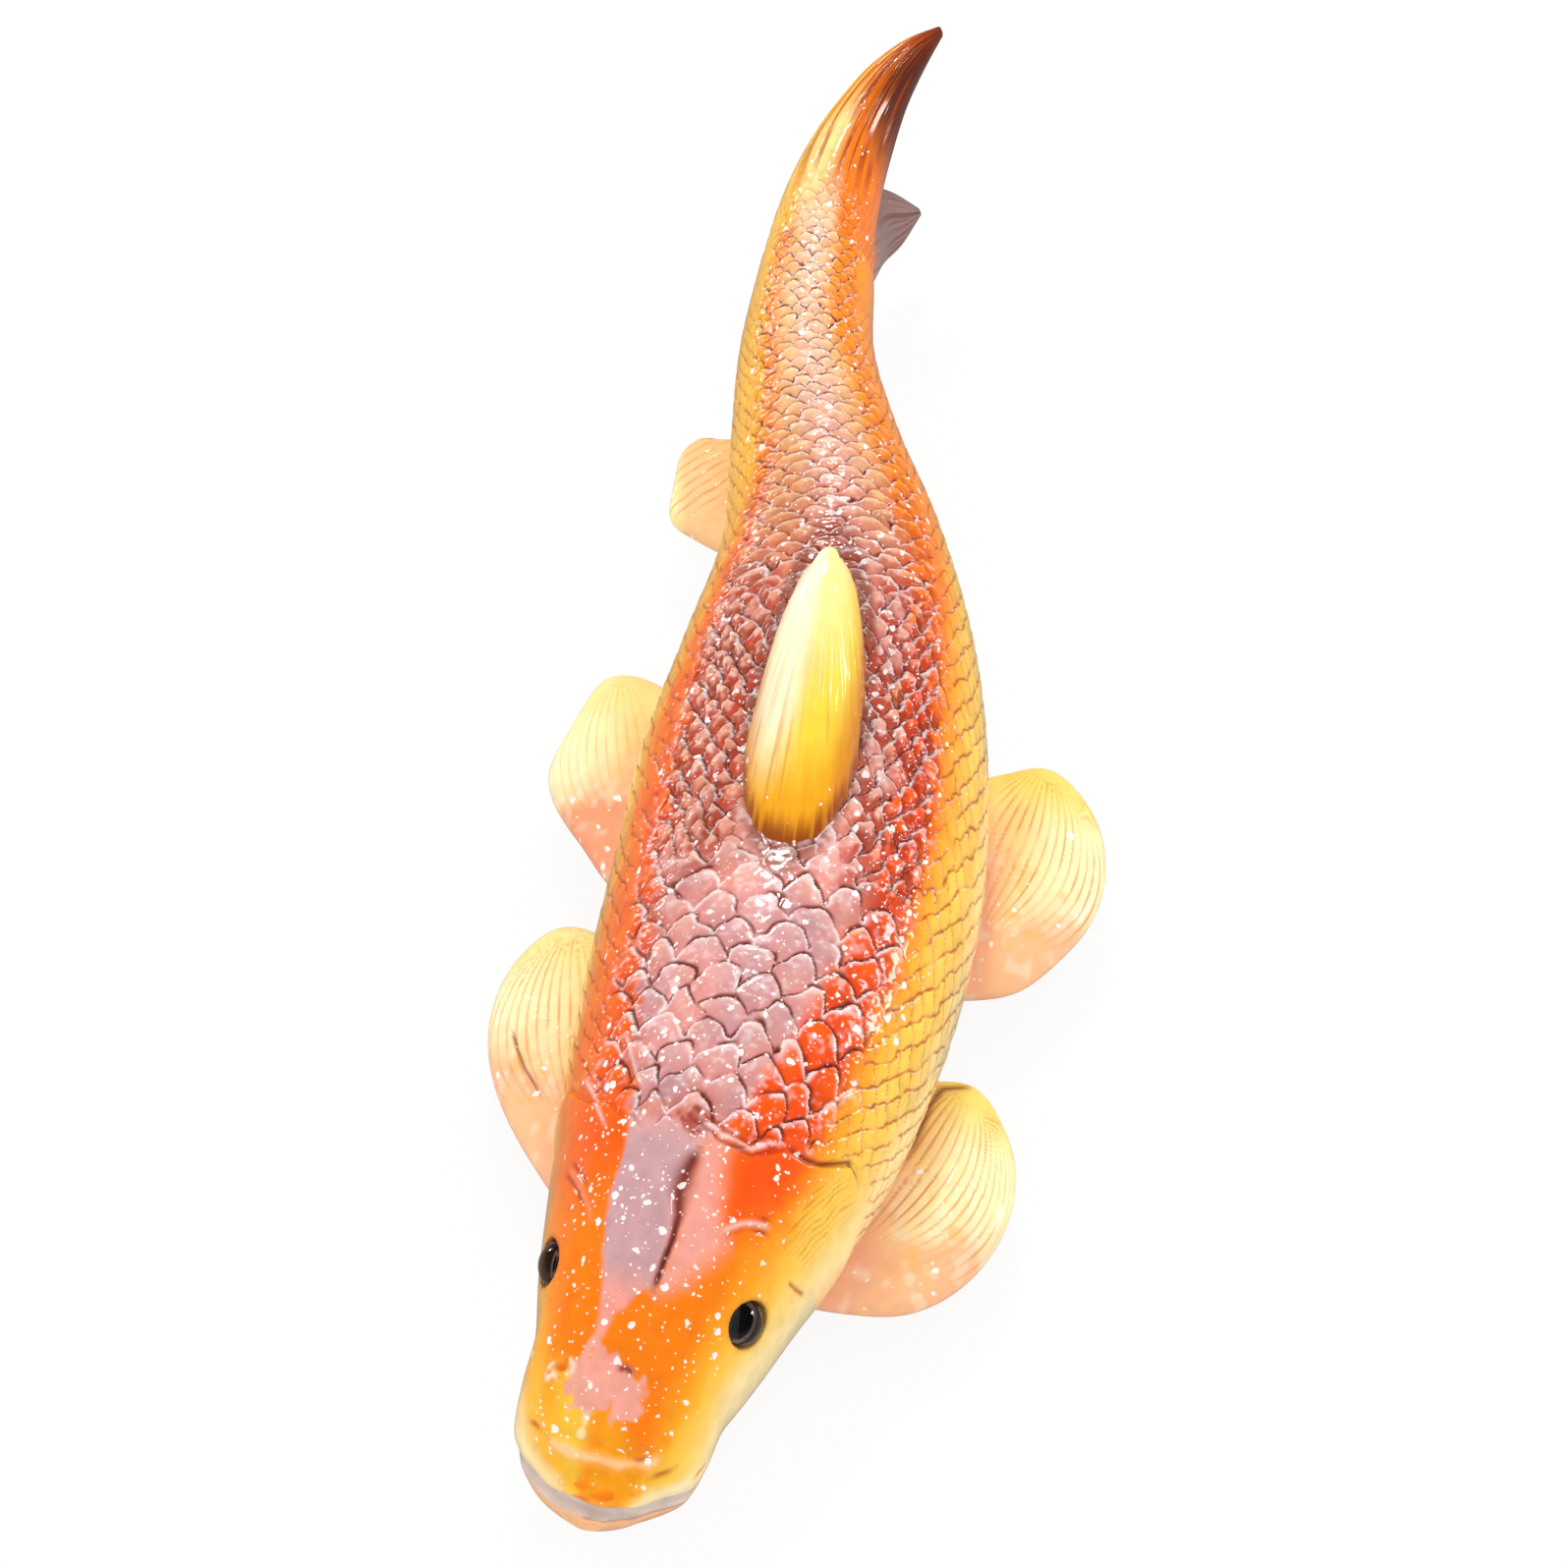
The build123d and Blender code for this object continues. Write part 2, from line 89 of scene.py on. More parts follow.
# Tail lobes: place along and sideways in tail lengths, then as in the body's stations
TAIL_LENGTH = 40 * MM
UPPER_LOBE_SHARES = np.array([
    (0.200, 0.000, 0.303, 0.852, 0.630, 0.400),
    (0.400, 0.025, 0.265, 0.880, 0.680, 0.460),
    (0.600, 0.080, 0.212, 0.912, 0.740, 0.550),
    (0.775, 0.165, 0.152, 0.940, 0.832, 0.720),
    (0.890, 0.250, 0.095, 0.952, 0.888, 0.820),
    (0.965, 0.330, 0.030, 0.952, 0.932, 0.912),
])
UPPER_LOBE_HEADINGS = np.array([6, 13, 22, 32, 42, 50])
LOWER_LOBE_SHARES = np.array([
    (0.200, 0.015, 0.296, 0.760, 0.520, 0.290),
    (0.375, 0.065, 0.224, 0.660, 0.440, 0.240),
    (0.550, 0.135, 0.150, 0.560, 0.370, 0.210),
    (0.675, 0.205, 0.104, 0.440, 0.310, 0.200),
    (0.790, 0.285, 0.030, 0.290, 0.270, 0.250),
])
LOWER_LOBE_HEADINGS = np.array([8, 18, 27, 34, 38])

# Dorsal fin: place on the back, length, width, rise, turn, and its level shares: height in
# rises above the ridge, then widest place, front and rear reach in lengths, then width
DORSAL_SHARE = -0.065
DORSAL_LENGTH = 46 * MM
DORSAL_WIDTH = 15.4 * MM
DORSAL_RISE = 15.5 * MM
DORSAL_TURN = 1.5
DORSAL_LEVEL_SHARES = np.array([
    (-0.420, 0.010, 0.350, 0.650, 0.985),
    (0.000, 0.020, 0.350, 0.630, 1.000),
    (0.320, 0.140, 0.300, 0.500, 0.900),
    (0.650, 0.290, 0.230, 0.320, 0.680),
    (0.880, 0.420, 0.130, 0.150, 0.390),
    (1.000, 0.490, 0.050, 0.055, 0.150),
])

# Side fins: node, place, root height, side, span, chord, thickness, outline in spans and
# chords from the front root
FIN_ROOT_HEIGHT = 12.4 * MM
ANAL_ROOT_HEIGHT = 14.5 * MM
FIN_DROOP = 9
SIDE_FINS = [
    ("left_pectoral_fin", -0.362, FIN_ROOT_HEIGHT, 1, 20.4 * MM, 42 * MM, 6.4 * MM, np.array([
        (-0.28, -0.10), (0.20, -0.07), (0.54, 0.00), (0.80, 0.14), (0.95, 0.33), (0.97, 0.53),
        (0.86, 0.71), (0.66, 0.84), (0.42, 0.92), (0.14, 0.88), (-0.28, 0.74)])),
    ("right_pectoral_fin", -0.325, FIN_ROOT_HEIGHT, -1, 20.4 * MM, 42 * MM, 6.4 * MM, np.array([
        (-0.28, -0.26), (0.14, -0.10), (0.45, 0.05), (0.77, 0.24), (0.99, 0.45), (1.06, 0.66),
        (0.98, 0.85), (0.80, 0.96), (0.46, 0.95), (0.10, 0.89), (-0.28, 0.80)])),
    ("left_pelvic_fin", -0.104, FIN_ROOT_HEIGHT, 1, 19.4 * MM, 42 * MM, 6.4 * MM, np.array([
        (-0.28, -0.10), (0.18, -0.07), (0.44, -0.01), (0.70, 0.14), (0.90, 0.32), (0.97, 0.52),
        (0.88, 0.73), (0.68, 0.87), (0.40, 0.95), (0.10, 0.89), (-0.28, 0.78)])),
    ("right_pelvic_fin", -0.043, FIN_ROOT_HEIGHT, -1, 17.4 * MM, 37 * MM, 6.4 * MM, np.array([
        (-0.28, -0.24), (0.30, -0.06), (0.59, 0.13), (0.87, 0.32), (0.98, 0.48), (0.90, 0.66),
        (0.77, 0.84), (0.58, 0.98), (0.36, 0.98), (0.10, 0.92), (-0.28, 0.80)])),
    ("anal_fin", 0.284, ANAL_ROOT_HEIGHT, -1, 11.6 * MM, 18 * MM, 4.6 * MM, np.array([
        (-0.28, -0.40), (0.40, -0.17), (0.80, 0.05), (1.02, 0.22), (1.02, 0.44), (0.95, 0.72),
        (0.82, 0.98), (0.62, 1.07), (0.30, 1.04), (-0.28, 1.02)])),
]
FIN_MIDDLE_SHARE = (0.42, 0.48)
# Half section of a fin's cushion from the middle of its top, round the rim, to the middle
# of its underside: size of the outline, then height in thicknesses
CUSHION_SHARES = np.array([
    (0.00, 0.56), (0.30, 0.55), (0.60, 0.50), (0.84, 0.38), (0.96, 0.20), (1.00, 0.04),
    (0.97, -0.22), (0.84, -0.44), (0.60, -0.50), (0.00, -0.50),
])

# Parts of the body skin: name, first and last place along the body, rows
SKIN_PARTS = [
    ("head_skin", -0.587, -0.420, 176),
    ("nape_skin", -0.420, -0.270, 178),
    ("shoulder_skin", -0.270, -0.085, 190),
    ("flank_skin", -0.085, 0.100, 186),
    ("loin_skin", 0.100, 0.285, 180),
    ("stock_skin", 0.285, 0.470, 176),
]
SKIN_COLUMNS = 480
TAIL_COLUMNS = 400
SNOUT_RINGS = 9

# Depth of the eye sockets, then the glass in millimetres over the skin: radius of its rim,
# radius of the ball that its cap belongs to, how deep the ball's middle lies, back and top
SOCKET_DEPTH = 2.7 * MM
GLASS_RIM = 2.98
GLASS_BALL = 3.9
GLASS_SINK = 2.514
GLASS_BACK = -1.6
GLASS_TOP = 1.386
# Painted disc behind the glass: where the bronze ring and its dark edge begin and are full,
# in metres from the disc's middle
BRONZE_START = (0.00222, 0.00242)
BRONZE_END = (0.00276, 0.00292)

# Camera of the photograph: azimuth and elevation in degrees, distance, target, lens
VIEW_AZIMUTH = 9
VIEW_ELEVATION = 52
VIEW_DISTANCE = 0.85
VIEW_TARGET = (0, 0, 0.025)
VIEW_LENS = 135.85
VIEW_SENSOR = 36

# Lamps: name, place, width, power and whether gloss mirrors it
LAMPS = [
    ("overhead_lamp", (-0.12, 0.55, 0.90), 0.13, 2.8, True),
    ("front_lamp", (-0.55, -0.70, 0.95), 1.40, 2.1, False),
    ("left_lamp", (0.88, 0.29, 0.32), 0.19, 1.8, True),
    ("right_lamp", (-0.80, 0.52, 0.16), 0.15, 0.70, True),
]


def srgb(red, green, blue):
    """Linear colour of an 8-bit screen colour, by the sRGB curve."""
    share = np.array([red, green, blue]) / 255
    curve = np.where(share <= 0.04045, share / 12.92, ((share + 0.055) / 1.055) ** 2.4)
    return tuple(float(part) for part in curve)


def length_property(name, description, default):
    """A length in metres that the sidebar shows in the scene's unit."""
    return FloatProperty(
        name=name, description=description, default=default, min=0, precision=5,
        subtype="DISTANCE", unit="LENGTH",
    )


def paint_property(name, description, red, green, blue):
    """A paint, given by its 8-bit screen colour."""
    return FloatVectorProperty(
        name=name, description=description, default=srgb(red, green, blue), min=0, max=1,
        size=3, subtype="COLOR",
    )


class KoiSizes(bpy.types.PropertyGroup):
    scales_round: IntProperty(
        name="Scales round the body", description="Columns of scales round the girth",
        default=44, min=12, max=80,
    )
    scale_lift: length_property(
        "Scale lift", "How far a scale's free edge stands over the next scale", 0.36 * MM)
    crevice_depth: length_property(
        "Crevice depth", "Depth of the groove beyond a scale's free edge", 0.32 * MM)
    ray_depth: length_property("Ray depth", "Depth of the grooves along the fins", 0.20 * MM)
    ray_step: length_property("Ray step", "Distance between two grooves of a fin", 1.6 * MM)
    slit_depth: length_property("Crown slit depth", "Depth of the slit on the head", 0.9 * MM)
    lip_depth: length_property("Mouth depth", "Depth of the trough between the lips", 1.2 * MM)
    speck_spacing: length_property("Speck spacing", "Distance between large white specks", 2.2 * MM)


class KoiPaints(bpy.types.PropertyGroup):
    orange: paint_property("Orange", "Head and upper flanks", 251, 126, 2)
    vermilion: paint_property("Vermilion", "Shoulder bands", 250, 84, 6)
    amber: paint_property("Amber", "Cheeks and rear flanks", 254, 174, 36)
    yellow: paint_property("Yellow", "Flanks and snout", 255, 206, 80)
    cream: paint_property("Cream", "Lower flanks, cheeks and fin tips", 255, 232, 172)
    mauve_and_reflection: paint_property("Mauve", "Crown and centre of the back", 205, 158, 160)
    rose: paint_property("Rose", "Edges of the crown and rims of scales", 242, 168, 150)
    russet: paint_property("Russet", "Back beside the dorsal fin", 240, 168, 142)
    garnet: paint_property("Garnet", "Pockets between the scales of the back", 168, 48, 16)
    umber: paint_property("Umber", "Crevices and creases", 104, 36, 20)
    peach: paint_property("Peach", "Tail stock and fin roots", 250, 178, 130)
    lemon: paint_property("Lemon", "Middle of the dorsal fin", 254, 216, 66)
    ivory: paint_property("Ivory", "Tips of the fins", 254, 244, 190)
    ash: paint_property("Ash", "Inside of the lips", 212, 194, 184)
    slate_shadow: paint_property("Slate", "Shaded side of the lower tail lobe", 132, 104, 100)


def panel_values(context):
    """The sizes and paints of the sidebar, each paint as an array."""
    group = context.scene.koi_paints
    paints = {key: np.asarray(getattr(group, key)) for key in KoiPaints.__annotations__}
    return context.scene.koi_sizes, SimpleNamespace(**paints)


def ramp(low, high, value):
    """0 at low, 1 at high, 3t^2 - 2t^3 between, where t is the share of the way."""
    share = np.clip((value - low) / (high - low), 0, 1)
    return share * share * (3 - 2 * share)


def bell(value, width):
    """Bell curve of a distance: exp(-(value / width)^2)."""
    return np.exp(-np.square(value / width))


def track(place, rows):
    """Straight-line interpolation through given rows of (place, value)."""
    places, values = np.array(rows, float).T
    return np.interp(place, places, values)


def mottle(first, second, seed):
    """Smooth noise from -1 to 1: random heights at whole numbers, eased between them."""
    size = 128
    table = np.random.default_rng(seed).uniform(-1, 1, (size, size))
    row, column = np.floor(first).astype(int), np.floor(second).astype(int)
    down, over = first - row, second - column
    down, over = down * down * (3 - 2 * down), over * over * (3 - 2 * over)
    near = table[row % size, column % size] * (1 - over)
    near = near + table[row % size, (column + 1) % size] * over
    far = table[(row + 1) % size, column % size] * (1 - over)
    far = far + table[(row + 1) % size, (column + 1) % size] * over
    return near * (1 - down) + far * down


def blend(paint, coat, cover):
    """Lays a coat over paint: paint + (coat - paint) * cover, where cover is 0 to 1."""
    cover = np.clip(cover, 0, 1)[..., None]
    return paint + (np.asarray(coat) - paint) * cover


def hermite(t, span, start, start_slope, end, end_slope):
    """Cubic from start to end: (2t^3 - 3t^2 + 1) start + (t^3 - 2t^2 + t) span start_slope
    + (3t^2 - 2t^3) end + (t^3 - t^2) span end_slope."""
    return ((2 * t ** 3 - 3 * t ** 2 + 1) * start + (t ** 3 - 2 * t ** 2 + t) * span * start_slope
            + (3 * t ** 2 - 2 * t ** 3) * end + (t ** 3 - t ** 2) * span * end_slope)


def curve_through(places, rows, at):
    """Cubic Hermite curve through rows of values, with slopes from the rows beside each."""
    slopes = np.gradient(rows, places, axis=0)
    index = np.clip(np.searchsorted(places, at, side="right") - 1, 0, len(places) - 2)
    span = (places[index + 1] - places[index])[..., None]
    t = (at[..., None] - places[index][..., None]) / span
    return hermite(t, span, rows[index], slopes[index], rows[index + 1], slopes[index + 1])


def closed_outline(points, count):
    """Closed cubic spline through points, with chord lengths as its knots: the slopes m at
    the points solve m0/h0 + 2 m1 (1/h0 + 1/h1) + m2/h1 = 3 (d0/h0^2 + d1/h1^2)."""
    total = len(points)
    step = np.roll(points, -1, axis=0) - points
    chord = np.linalg.norm(step, axis=1)
    before = np.roll(chord, 1)
    matrix = np.zeros((total, total))
    spot = np.arange(total)
    matrix[spot, spot - 1] = 1 / before
    matrix[spot, spot] = 2 * (1 / before + 1 / chord)
    matrix[spot, (spot + 1) % total] = 1 / chord
    pull = 3 * (np.roll(step, 1, axis=0) / before[:, None] ** 2 + step / chord[:, None] ** 2)
    slopes = np.linalg.solve(matrix, pull)
    knots = np.append(0, np.cumsum(chord))
    at = np.linspace(0, knots[-1], count, endpoint=False)
    index = np.searchsorted(knots, at, side="right") - 1
    after = (index + 1) % total
    span = chord[index][:, None]
    t = (at - knots[index])[:, None] / span
    return hermite(t, span, points[index], slopes[index], points[after], slopes[after])


def grid_normals(points):
    """Unit normals of a grid closed round its columns: column step cross row step."""
    wrapped = np.concatenate([points[:, -1:], points, points[:, :1]], axis=1)
    over = wrapped[:, 2:] - wrapped[:, :-2]
    down = np.gradient(points, axis=0)
    normals = np.cross(over, down)
    size = np.linalg.norm(normals, axis=-1, keepdims=True)
    return normals / np.maximum(size, 1e-12)


def polyline_distance(first, second, spots):
    """Least distance to a line of straight pieces, and the share along it, from 0 to 1."""
    spots = np.asarray(spots, float)
    lengths = np.linalg.norm(np.diff(spots, axis=0), axis=1)
    starts = np.append(0, np.cumsum(lengths))
    best = np.full(np.broadcast(first, second).shape, np.inf)
    place = np.zeros_like(best)
    for index, (start, end) in enumerate(zip(spots[:-1], spots[1:])):
        step = end - start
        t = ((first - start[0]) * step[0] + (second - start[1]) * step[1]) / lengths[index] ** 2
        t = np.clip(t, 0, 1)
        gap = np.hypot(first - start[0] - step[0] * t, second - start[1] - step[1] * t)
        nearer = gap < best
        best = np.where(nearer, gap, best)
        place = np.where(nearer, (starts[index] + t * lengths[index]) / starts[-1], place)
    return best, place


def inside(first, second, spots):
    """Whether points lie inside a closed line of straight pieces: an odd number of its
    pieces crosses the way from the point to one side."""
    spots = np.asarray(spots, float)
    within = np.zeros(np.broadcast(first, second).shape, bool)
    for (a, b), (c, d) in zip(spots, np.roll(spots, -1, axis=0)):
        spans = (b > second) != (d > second)
        within ^= spans & (first < a + (second - b) / (d - b + 1e-15) * (c - a))
    return within


def face_map(*corners):
    """Map of some faces: for each of their corners, the (u, v) of that corner of all."""
    return np.stack([np.stack(np.broadcast_arrays(u, v), -1) for u, v in corners], axis=-2)


def with_poles(values):
    """A grid's values in one list, then the means of its first and last ring, for the poles."""
    ends = np.stack([values[0].mean(axis=0), values[-1].mean(axis=0)])
    return np.concatenate([values.reshape(-1, *values.shape[2:]), ends])


def make_piece(name, points, poles, material, stands_for, paint=None, specks=None,
               normals=None):
    """Mesh of a grid of rings, closed round its columns and by a pole at each end. Each
    face is a quad between two rings, or a triangle at a pole, turned to face outwards."""
    rows, columns = points.shape[:2]
    corners = np.concatenate([points.reshape(-1, 3), np.asarray(poles, float)])
    ring = np.arange(columns)
    after = (ring + 1) % columns
    near = (np.arange(rows - 1) * columns)[:, None]
    quads = np.stack([near + ring, near + after, near + columns + after,
                      near + columns + ring], axis=-1).reshape(-1, 4)
    last = (rows - 1) * columns
    first_pole, last_pole = rows * columns, rows * columns + 1
    fans = np.concatenate([
        np.stack([after, ring, np.full(columns, first_pole)], axis=-1),
        np.stack([last + ring, last + after, np.full(columns, last_pole)], axis=-1),
    ])
    # Map: columns run across it and rows up it, and the seam's corners reach the far side
    u_near, u_far = ring / columns, (ring + 1) / columns
    v_near = ((np.arange(rows - 1) + 1) / (rows + 1))[:, None]
    v_far = v_near + 1 / (rows + 1)
    quad_map = face_map((u_near, v_near), (u_far, v_near), (u_far, v_far), (u_near, v_far))
    quad_map = quad_map.reshape(-1, 4, 2)
    low, high = 1 / (rows + 1), rows / (rows + 1)
    middle = (u_near + u_far) / 2
    fan_map = np.concatenate([
        face_map((u_far, low), (u_near, low), (middle, 0.0)),
        face_map((u_near, high), (u_far, high), (middle, 1.0)),
    ])
    # Six times the volume within the faces, which is negative when they face inwards
    volume = 0.0
    for faces, second, third in ((fans, 1, 2), (quads, 1, 2), (quads, 2, 3)):
        volume += np.einsum("ij,ij->", corners[faces[:, 0]],
                            np.cross(corners[faces[:, second]], corners[faces[:, third]]))
    if volume < 0:
        quads, fans = quads[:, ::-1], fans[:, ::-1]
        quad_map, fan_map = quad_map[:, ::-1], fan_map[:, ::-1]
        normals = None if normals is None else -normals
    mesh = bpy.data.meshes.new(name)
    mesh.vertices.add(len(corners))
    mesh.vertices.foreach_set("co", corners.astype(np.float32).ravel())
    loops = np.concatenate([quads.ravel(), fans.ravel()])
    mesh.loops.add(len(loops))
    mesh.loops.foreach_set("vertex_index", loops.astype(np.int32))
    starts = np.concatenate([np.arange(len(quads)) * 4,
                             quads.size + np.arange(len(fans)) * 3])
    mesh.polygons.add(len(starts))
    mesh.polygons.foreach_set("loop_start", starts.astype(np.int32))
    mesh.update(calc_edges=True)
    mesh.validate()
    mesh.polygons.foreach_set("use_smooth", np.ones(len(starts), bool))
    layer = mesh.uv_layers.new(name="OFBake")
    layer.uv.foreach_set(
        "vector", np.concatenate([quad_map.ravel(), fan_map.ravel()]).astype(np.float32))
    if paint is not None:
        colours = np.ones((len(corners), 4), np.float32)
        colours[:, :3] = with_poles(paint)
        mesh.attributes.new("paint", "FLOAT_COLOR", "POINT").data.foreach_set(
            "color", np.clip(colours, 0, 1).ravel())
    if specks is not None:
        mesh.attributes.new("specks", "FLOAT", "POINT").data.foreach_set(
            "value", with_poles(specks).astype(np.float32))
    if normals is not None:
        mesh.normals_split_custom_set_from_vertices(with_poles(normals).tolist())
    mesh.materials.append(material)
    piece = bpy.data.objects.new(name, mesh)
    bpy.context.scene.collection.objects.link(piece)
    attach(piece, "root")
    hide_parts(stands_for)


def spine_rows(shares, headings):
    """Body stations in metres: place, x, heading, half width, ridge, middle, underside."""
    return np.column_stack([
        shares[:, 0] * BODY_LENGTH, shares[:, 1] * HALF_WIDTH, headings,
        shares[:, 2] * HALF_WIDTH, shares[:, 3:] * BODY_HEIGHT,
    ])


def lobe_rows(shares, headings):
    """Tail stations in metres, in the order of the body's, from the tail joint on."""
    root_y, root_x = BODY_SPINE[-1, :2]
    return np.column_stack([
        root_y + shares[:, 0] * TAIL_LENGTH, root_x + shares[:, 1] * TAIL_LENGTH, headings,
        shares[:, 2] * HALF_WIDTH, shares[:, 3:] * BODY_HEIGHT,
    ])


BODY_SPINE = spine_rows(BODY_SHARES, BODY_HEADINGS)
UPPER_SPINE = np.concatenate([BODY_SPINE, lobe_rows(UPPER_LOBE_SHARES, UPPER_LOBE_HEADINGS)])
LOWER_SPINE = np.concatenate([BODY_SPINE, lobe_rows(LOWER_LOBE_SHARES, LOWER_LOBE_HEADINGS)])


def station_at(share):
    """One body station at a share of the length, between its neighbours by straight lines."""
    place = share * BODY_LENGTH
    return np.array([np.interp(place, BODY_SPINE[:, 0], BODY_SPINE[:, i]) for i in range(1, 7)])


def heading_axes(degrees):
    """Level axes across and back along a heading: (cos, -sin) and (sin, cos)."""
    heading = math.radians(degrees)
    across = np.array([math.cos(heading), -math.sin(heading), 0])
    return across, np.array([math.sin(heading), math.cos(heading), 0])


def spine_at(spine, places):
    """Station values at places along a spine, in metres."""
    return curve_through(spine[:, 0], spine[:, 1:], places)


def ring_points(places, values, turn):
    """Rings of two half ellipses: sideways w sin t, height m + (top - m) cos t above the
    widest level m and m + (m - bottom) cos t below it, across the spine's heading."""
    x, heading, width, top, middle, bottom = (values[:, i, None] for i in range(6))
    heading = np.radians(heading)
    side = width * np.sin(turn)
    depth = np.where(np.cos(turn) > 0, top - middle, middle - bottom)
    return np.stack([
        x + np.cos(heading) * side,
        places[:, None] - np.sin(heading) * side,
        middle + depth * np.cos(turn),
    ], axis=-1)


def even_places(spine, first, last, count):
    """Places from first to last whose rings are the same way apart along the skin."""
    fine = np.linspace(first, last, 2000)
    values = spine_at(spine, fine)
    way = np.sqrt(np.gradient(fine) ** 2 + np.gradient(values[:, 2]) ** 2
                  + np.gradient(values[:, 3]) ** 2)
    way = np.cumsum(way) - way[0]
    return np.interp(np.linspace(0, way[-1], count), way, fine)


def column_turns(count):
    """Angles round a ring from the belly over the fish's right, closer on the back."""
    share = np.linspace(-1, 1, count, endpoint=False)
    return np.pi * share - 0.45 * np.sin(np.pi * share)


def row_numbers(places, steps):
    """Number of scale rows from the nape: the sum of 1 / step along the body, where the
    steps are rows of (share of the length, step in millimetres)."""
    fine = np.linspace(BODY_SPINE[0, 0], UPPER_SPINE[-1, 0], 4000)
    numbers = np.cumsum(np.gradient(fine) / (track(fine / BODY_LENGTH, steps) * MM))
    return np.interp(places, fine, numbers - np.interp(-0.38 * BODY_LENGTH, fine, numbers))


BACK_STEPS = [(-0.36, 4.0), (-0.25, 4.2), (-0.12, 4.0), (0.00, 3.0), (0.10, 2.3), (0.20, 2.0),
              (0.30, 1.9), (0.40, 1.8), (0.50, 1.7)]
# Scales round the body in the fields beside the dorsal fin and on the flanks
DORSAL_SCALES_ROUND = 46
FLANK_SCALES_ROUND = 42
DORSAL_STEPS = [(-0.20, 3.2), (0.00, 2.7), (0.12, 2.3)]
FLANK_STEPS = [(-0.34, 1.8), (-0.27, 2.1), (-0.20, 2.5), (-0.10, 2.5), (0.00, 2.3), (0.10, 2.1),
               (0.20, 1.8), (0.40, 1.4)]


def scale_pattern(places, degrees, count):
    """Scales of the body and their row number: large ones on the back, whose columns are
    x = N / 2pi (t - 0.5 sin t) of the turn t, smaller ones beside the dorsal fin and, from
    about 48 degrees, a diamond net on the flanks. The fields blend where they meet."""
    turn = np.radians(degrees)
    along = places / BODY_LENGTH
    coarse, even, fine = (row_numbers(places, steps)
                          for steps in (BACK_STEPS, DORSAL_STEPS, FLANK_STEPS))
    wobble = [0.22 * mottle(coarse * 0.8, degrees / 13, seed)
              + 0.12 * mottle(coarse * 2.1, degrees / 5, seed + 1) for seed in (3, 13)]
    column = count / (2 * np.pi) * (turn - 0.5 * np.sin(turn))
    back = scale_field(coarse + wobble[0], column + wobble[1], track(along, [(-0.1, 1.6), (0.1, 2.0)]))
    sway = [0.15 * mottle(fine * 0.8, degrees / 8, seed)
            + 0.09 * mottle(fine * 2.3, degrees / 3.4, seed + 1) for seed in (23, 25)]
    fin = scale_field(even + 1.5 * sway[0], DORSAL_SCALES_ROUND / 360 * degrees + 1.5 * sway[1], 1.35)
    flank = scale_field(fine + 1.2 * sway[0], FLANK_SCALES_ROUND / 360 * degrees + sway[1], 1.1, 0.12)
    share = np.abs(degrees) + 3 * mottle(coarse * 0.7, degrees / 10, 8)
    beside = ramp(-0.152, -0.132, along + 0.0004 * share) * ramp(0.115, 0.085, along)
    share = ramp(45, 51, share)
    fields = [b + (s - b) * beside for b, s in zip(back, fin)]
    return [b + (f - b) * share for b, f in zip(fields, flank)], coarse


def scale_field(row, column, power, lean=0.0):
    """Overlapping scales on a half-offset lattice. A scale is |dx| < 1 ahead of its centre
    and |dx|^p + |dy|^p < 1 behind it; the one furthest ahead that covers a point shows.
    Returns its height from 0 to 1, how near its free edge is from inside, how near a free
    edge further ahead is from outside, and its own random tone. Lean makes the grooves fainter
    on the side that faces down the flank and, by less, out at both sides of a scale."""
    wide, long = 0.60, 1.42
    table = np.random.default_rng(5).uniform(-1, 1, (257, 263))
    shape = np.broadcast(row, column).shape
    height, rim, crevice, tone = (np.zeros(shape) for _ in range(4))
    free = np.ones(shape, bool)
    for ahead in (1, 0, -1):
        number = np.floor(row) - ahead
        offset = 0.5 * (number % 2)
        middle = np.round(column - offset) + offset
        over, down = (column - middle) / wide, (row - number) / long
        reach = (np.abs(over) ** power + np.maximum(down, 0) ** power) ** (1 / power)
        covers = (reach < 1) if ahead > -1 else np.ones(shape, bool)
        shows = free & covers
        lift = np.clip((row - number) / long, 0, 1) ** 0.9
        dome = 0.10 * (1 - np.clip(over, -1, 1) ** 2)
        edge = ramp(0.88, 1.0, reach)
        height = np.where(shows, lift * (1 - 0.30 * edge) + dome * (1 - edge), height)
        rim = np.where(shows & (down > 0), bell(1 - reach, 0.10), rim)
        dice = table[(number.astype(int)) % 257, (2 * middle).astype(int) % 263]
        tone = np.where(shows, dice, tone)
        beyond = free & ~covers & (down > 0)
        faint = ramp(-0.1, 0.1, over * np.sign(column))
        faint = faint + 0.6 * ramp(0.2, 0.8, np.abs(over))
        near = np.clip(1 - (reach - 1) / 0.9, 0, 1) - lean * faint
        crevice = np.where(beyond, np.maximum(crevice, near), crevice)
        free = free & ~covers
    return height, rim, crevice, tone


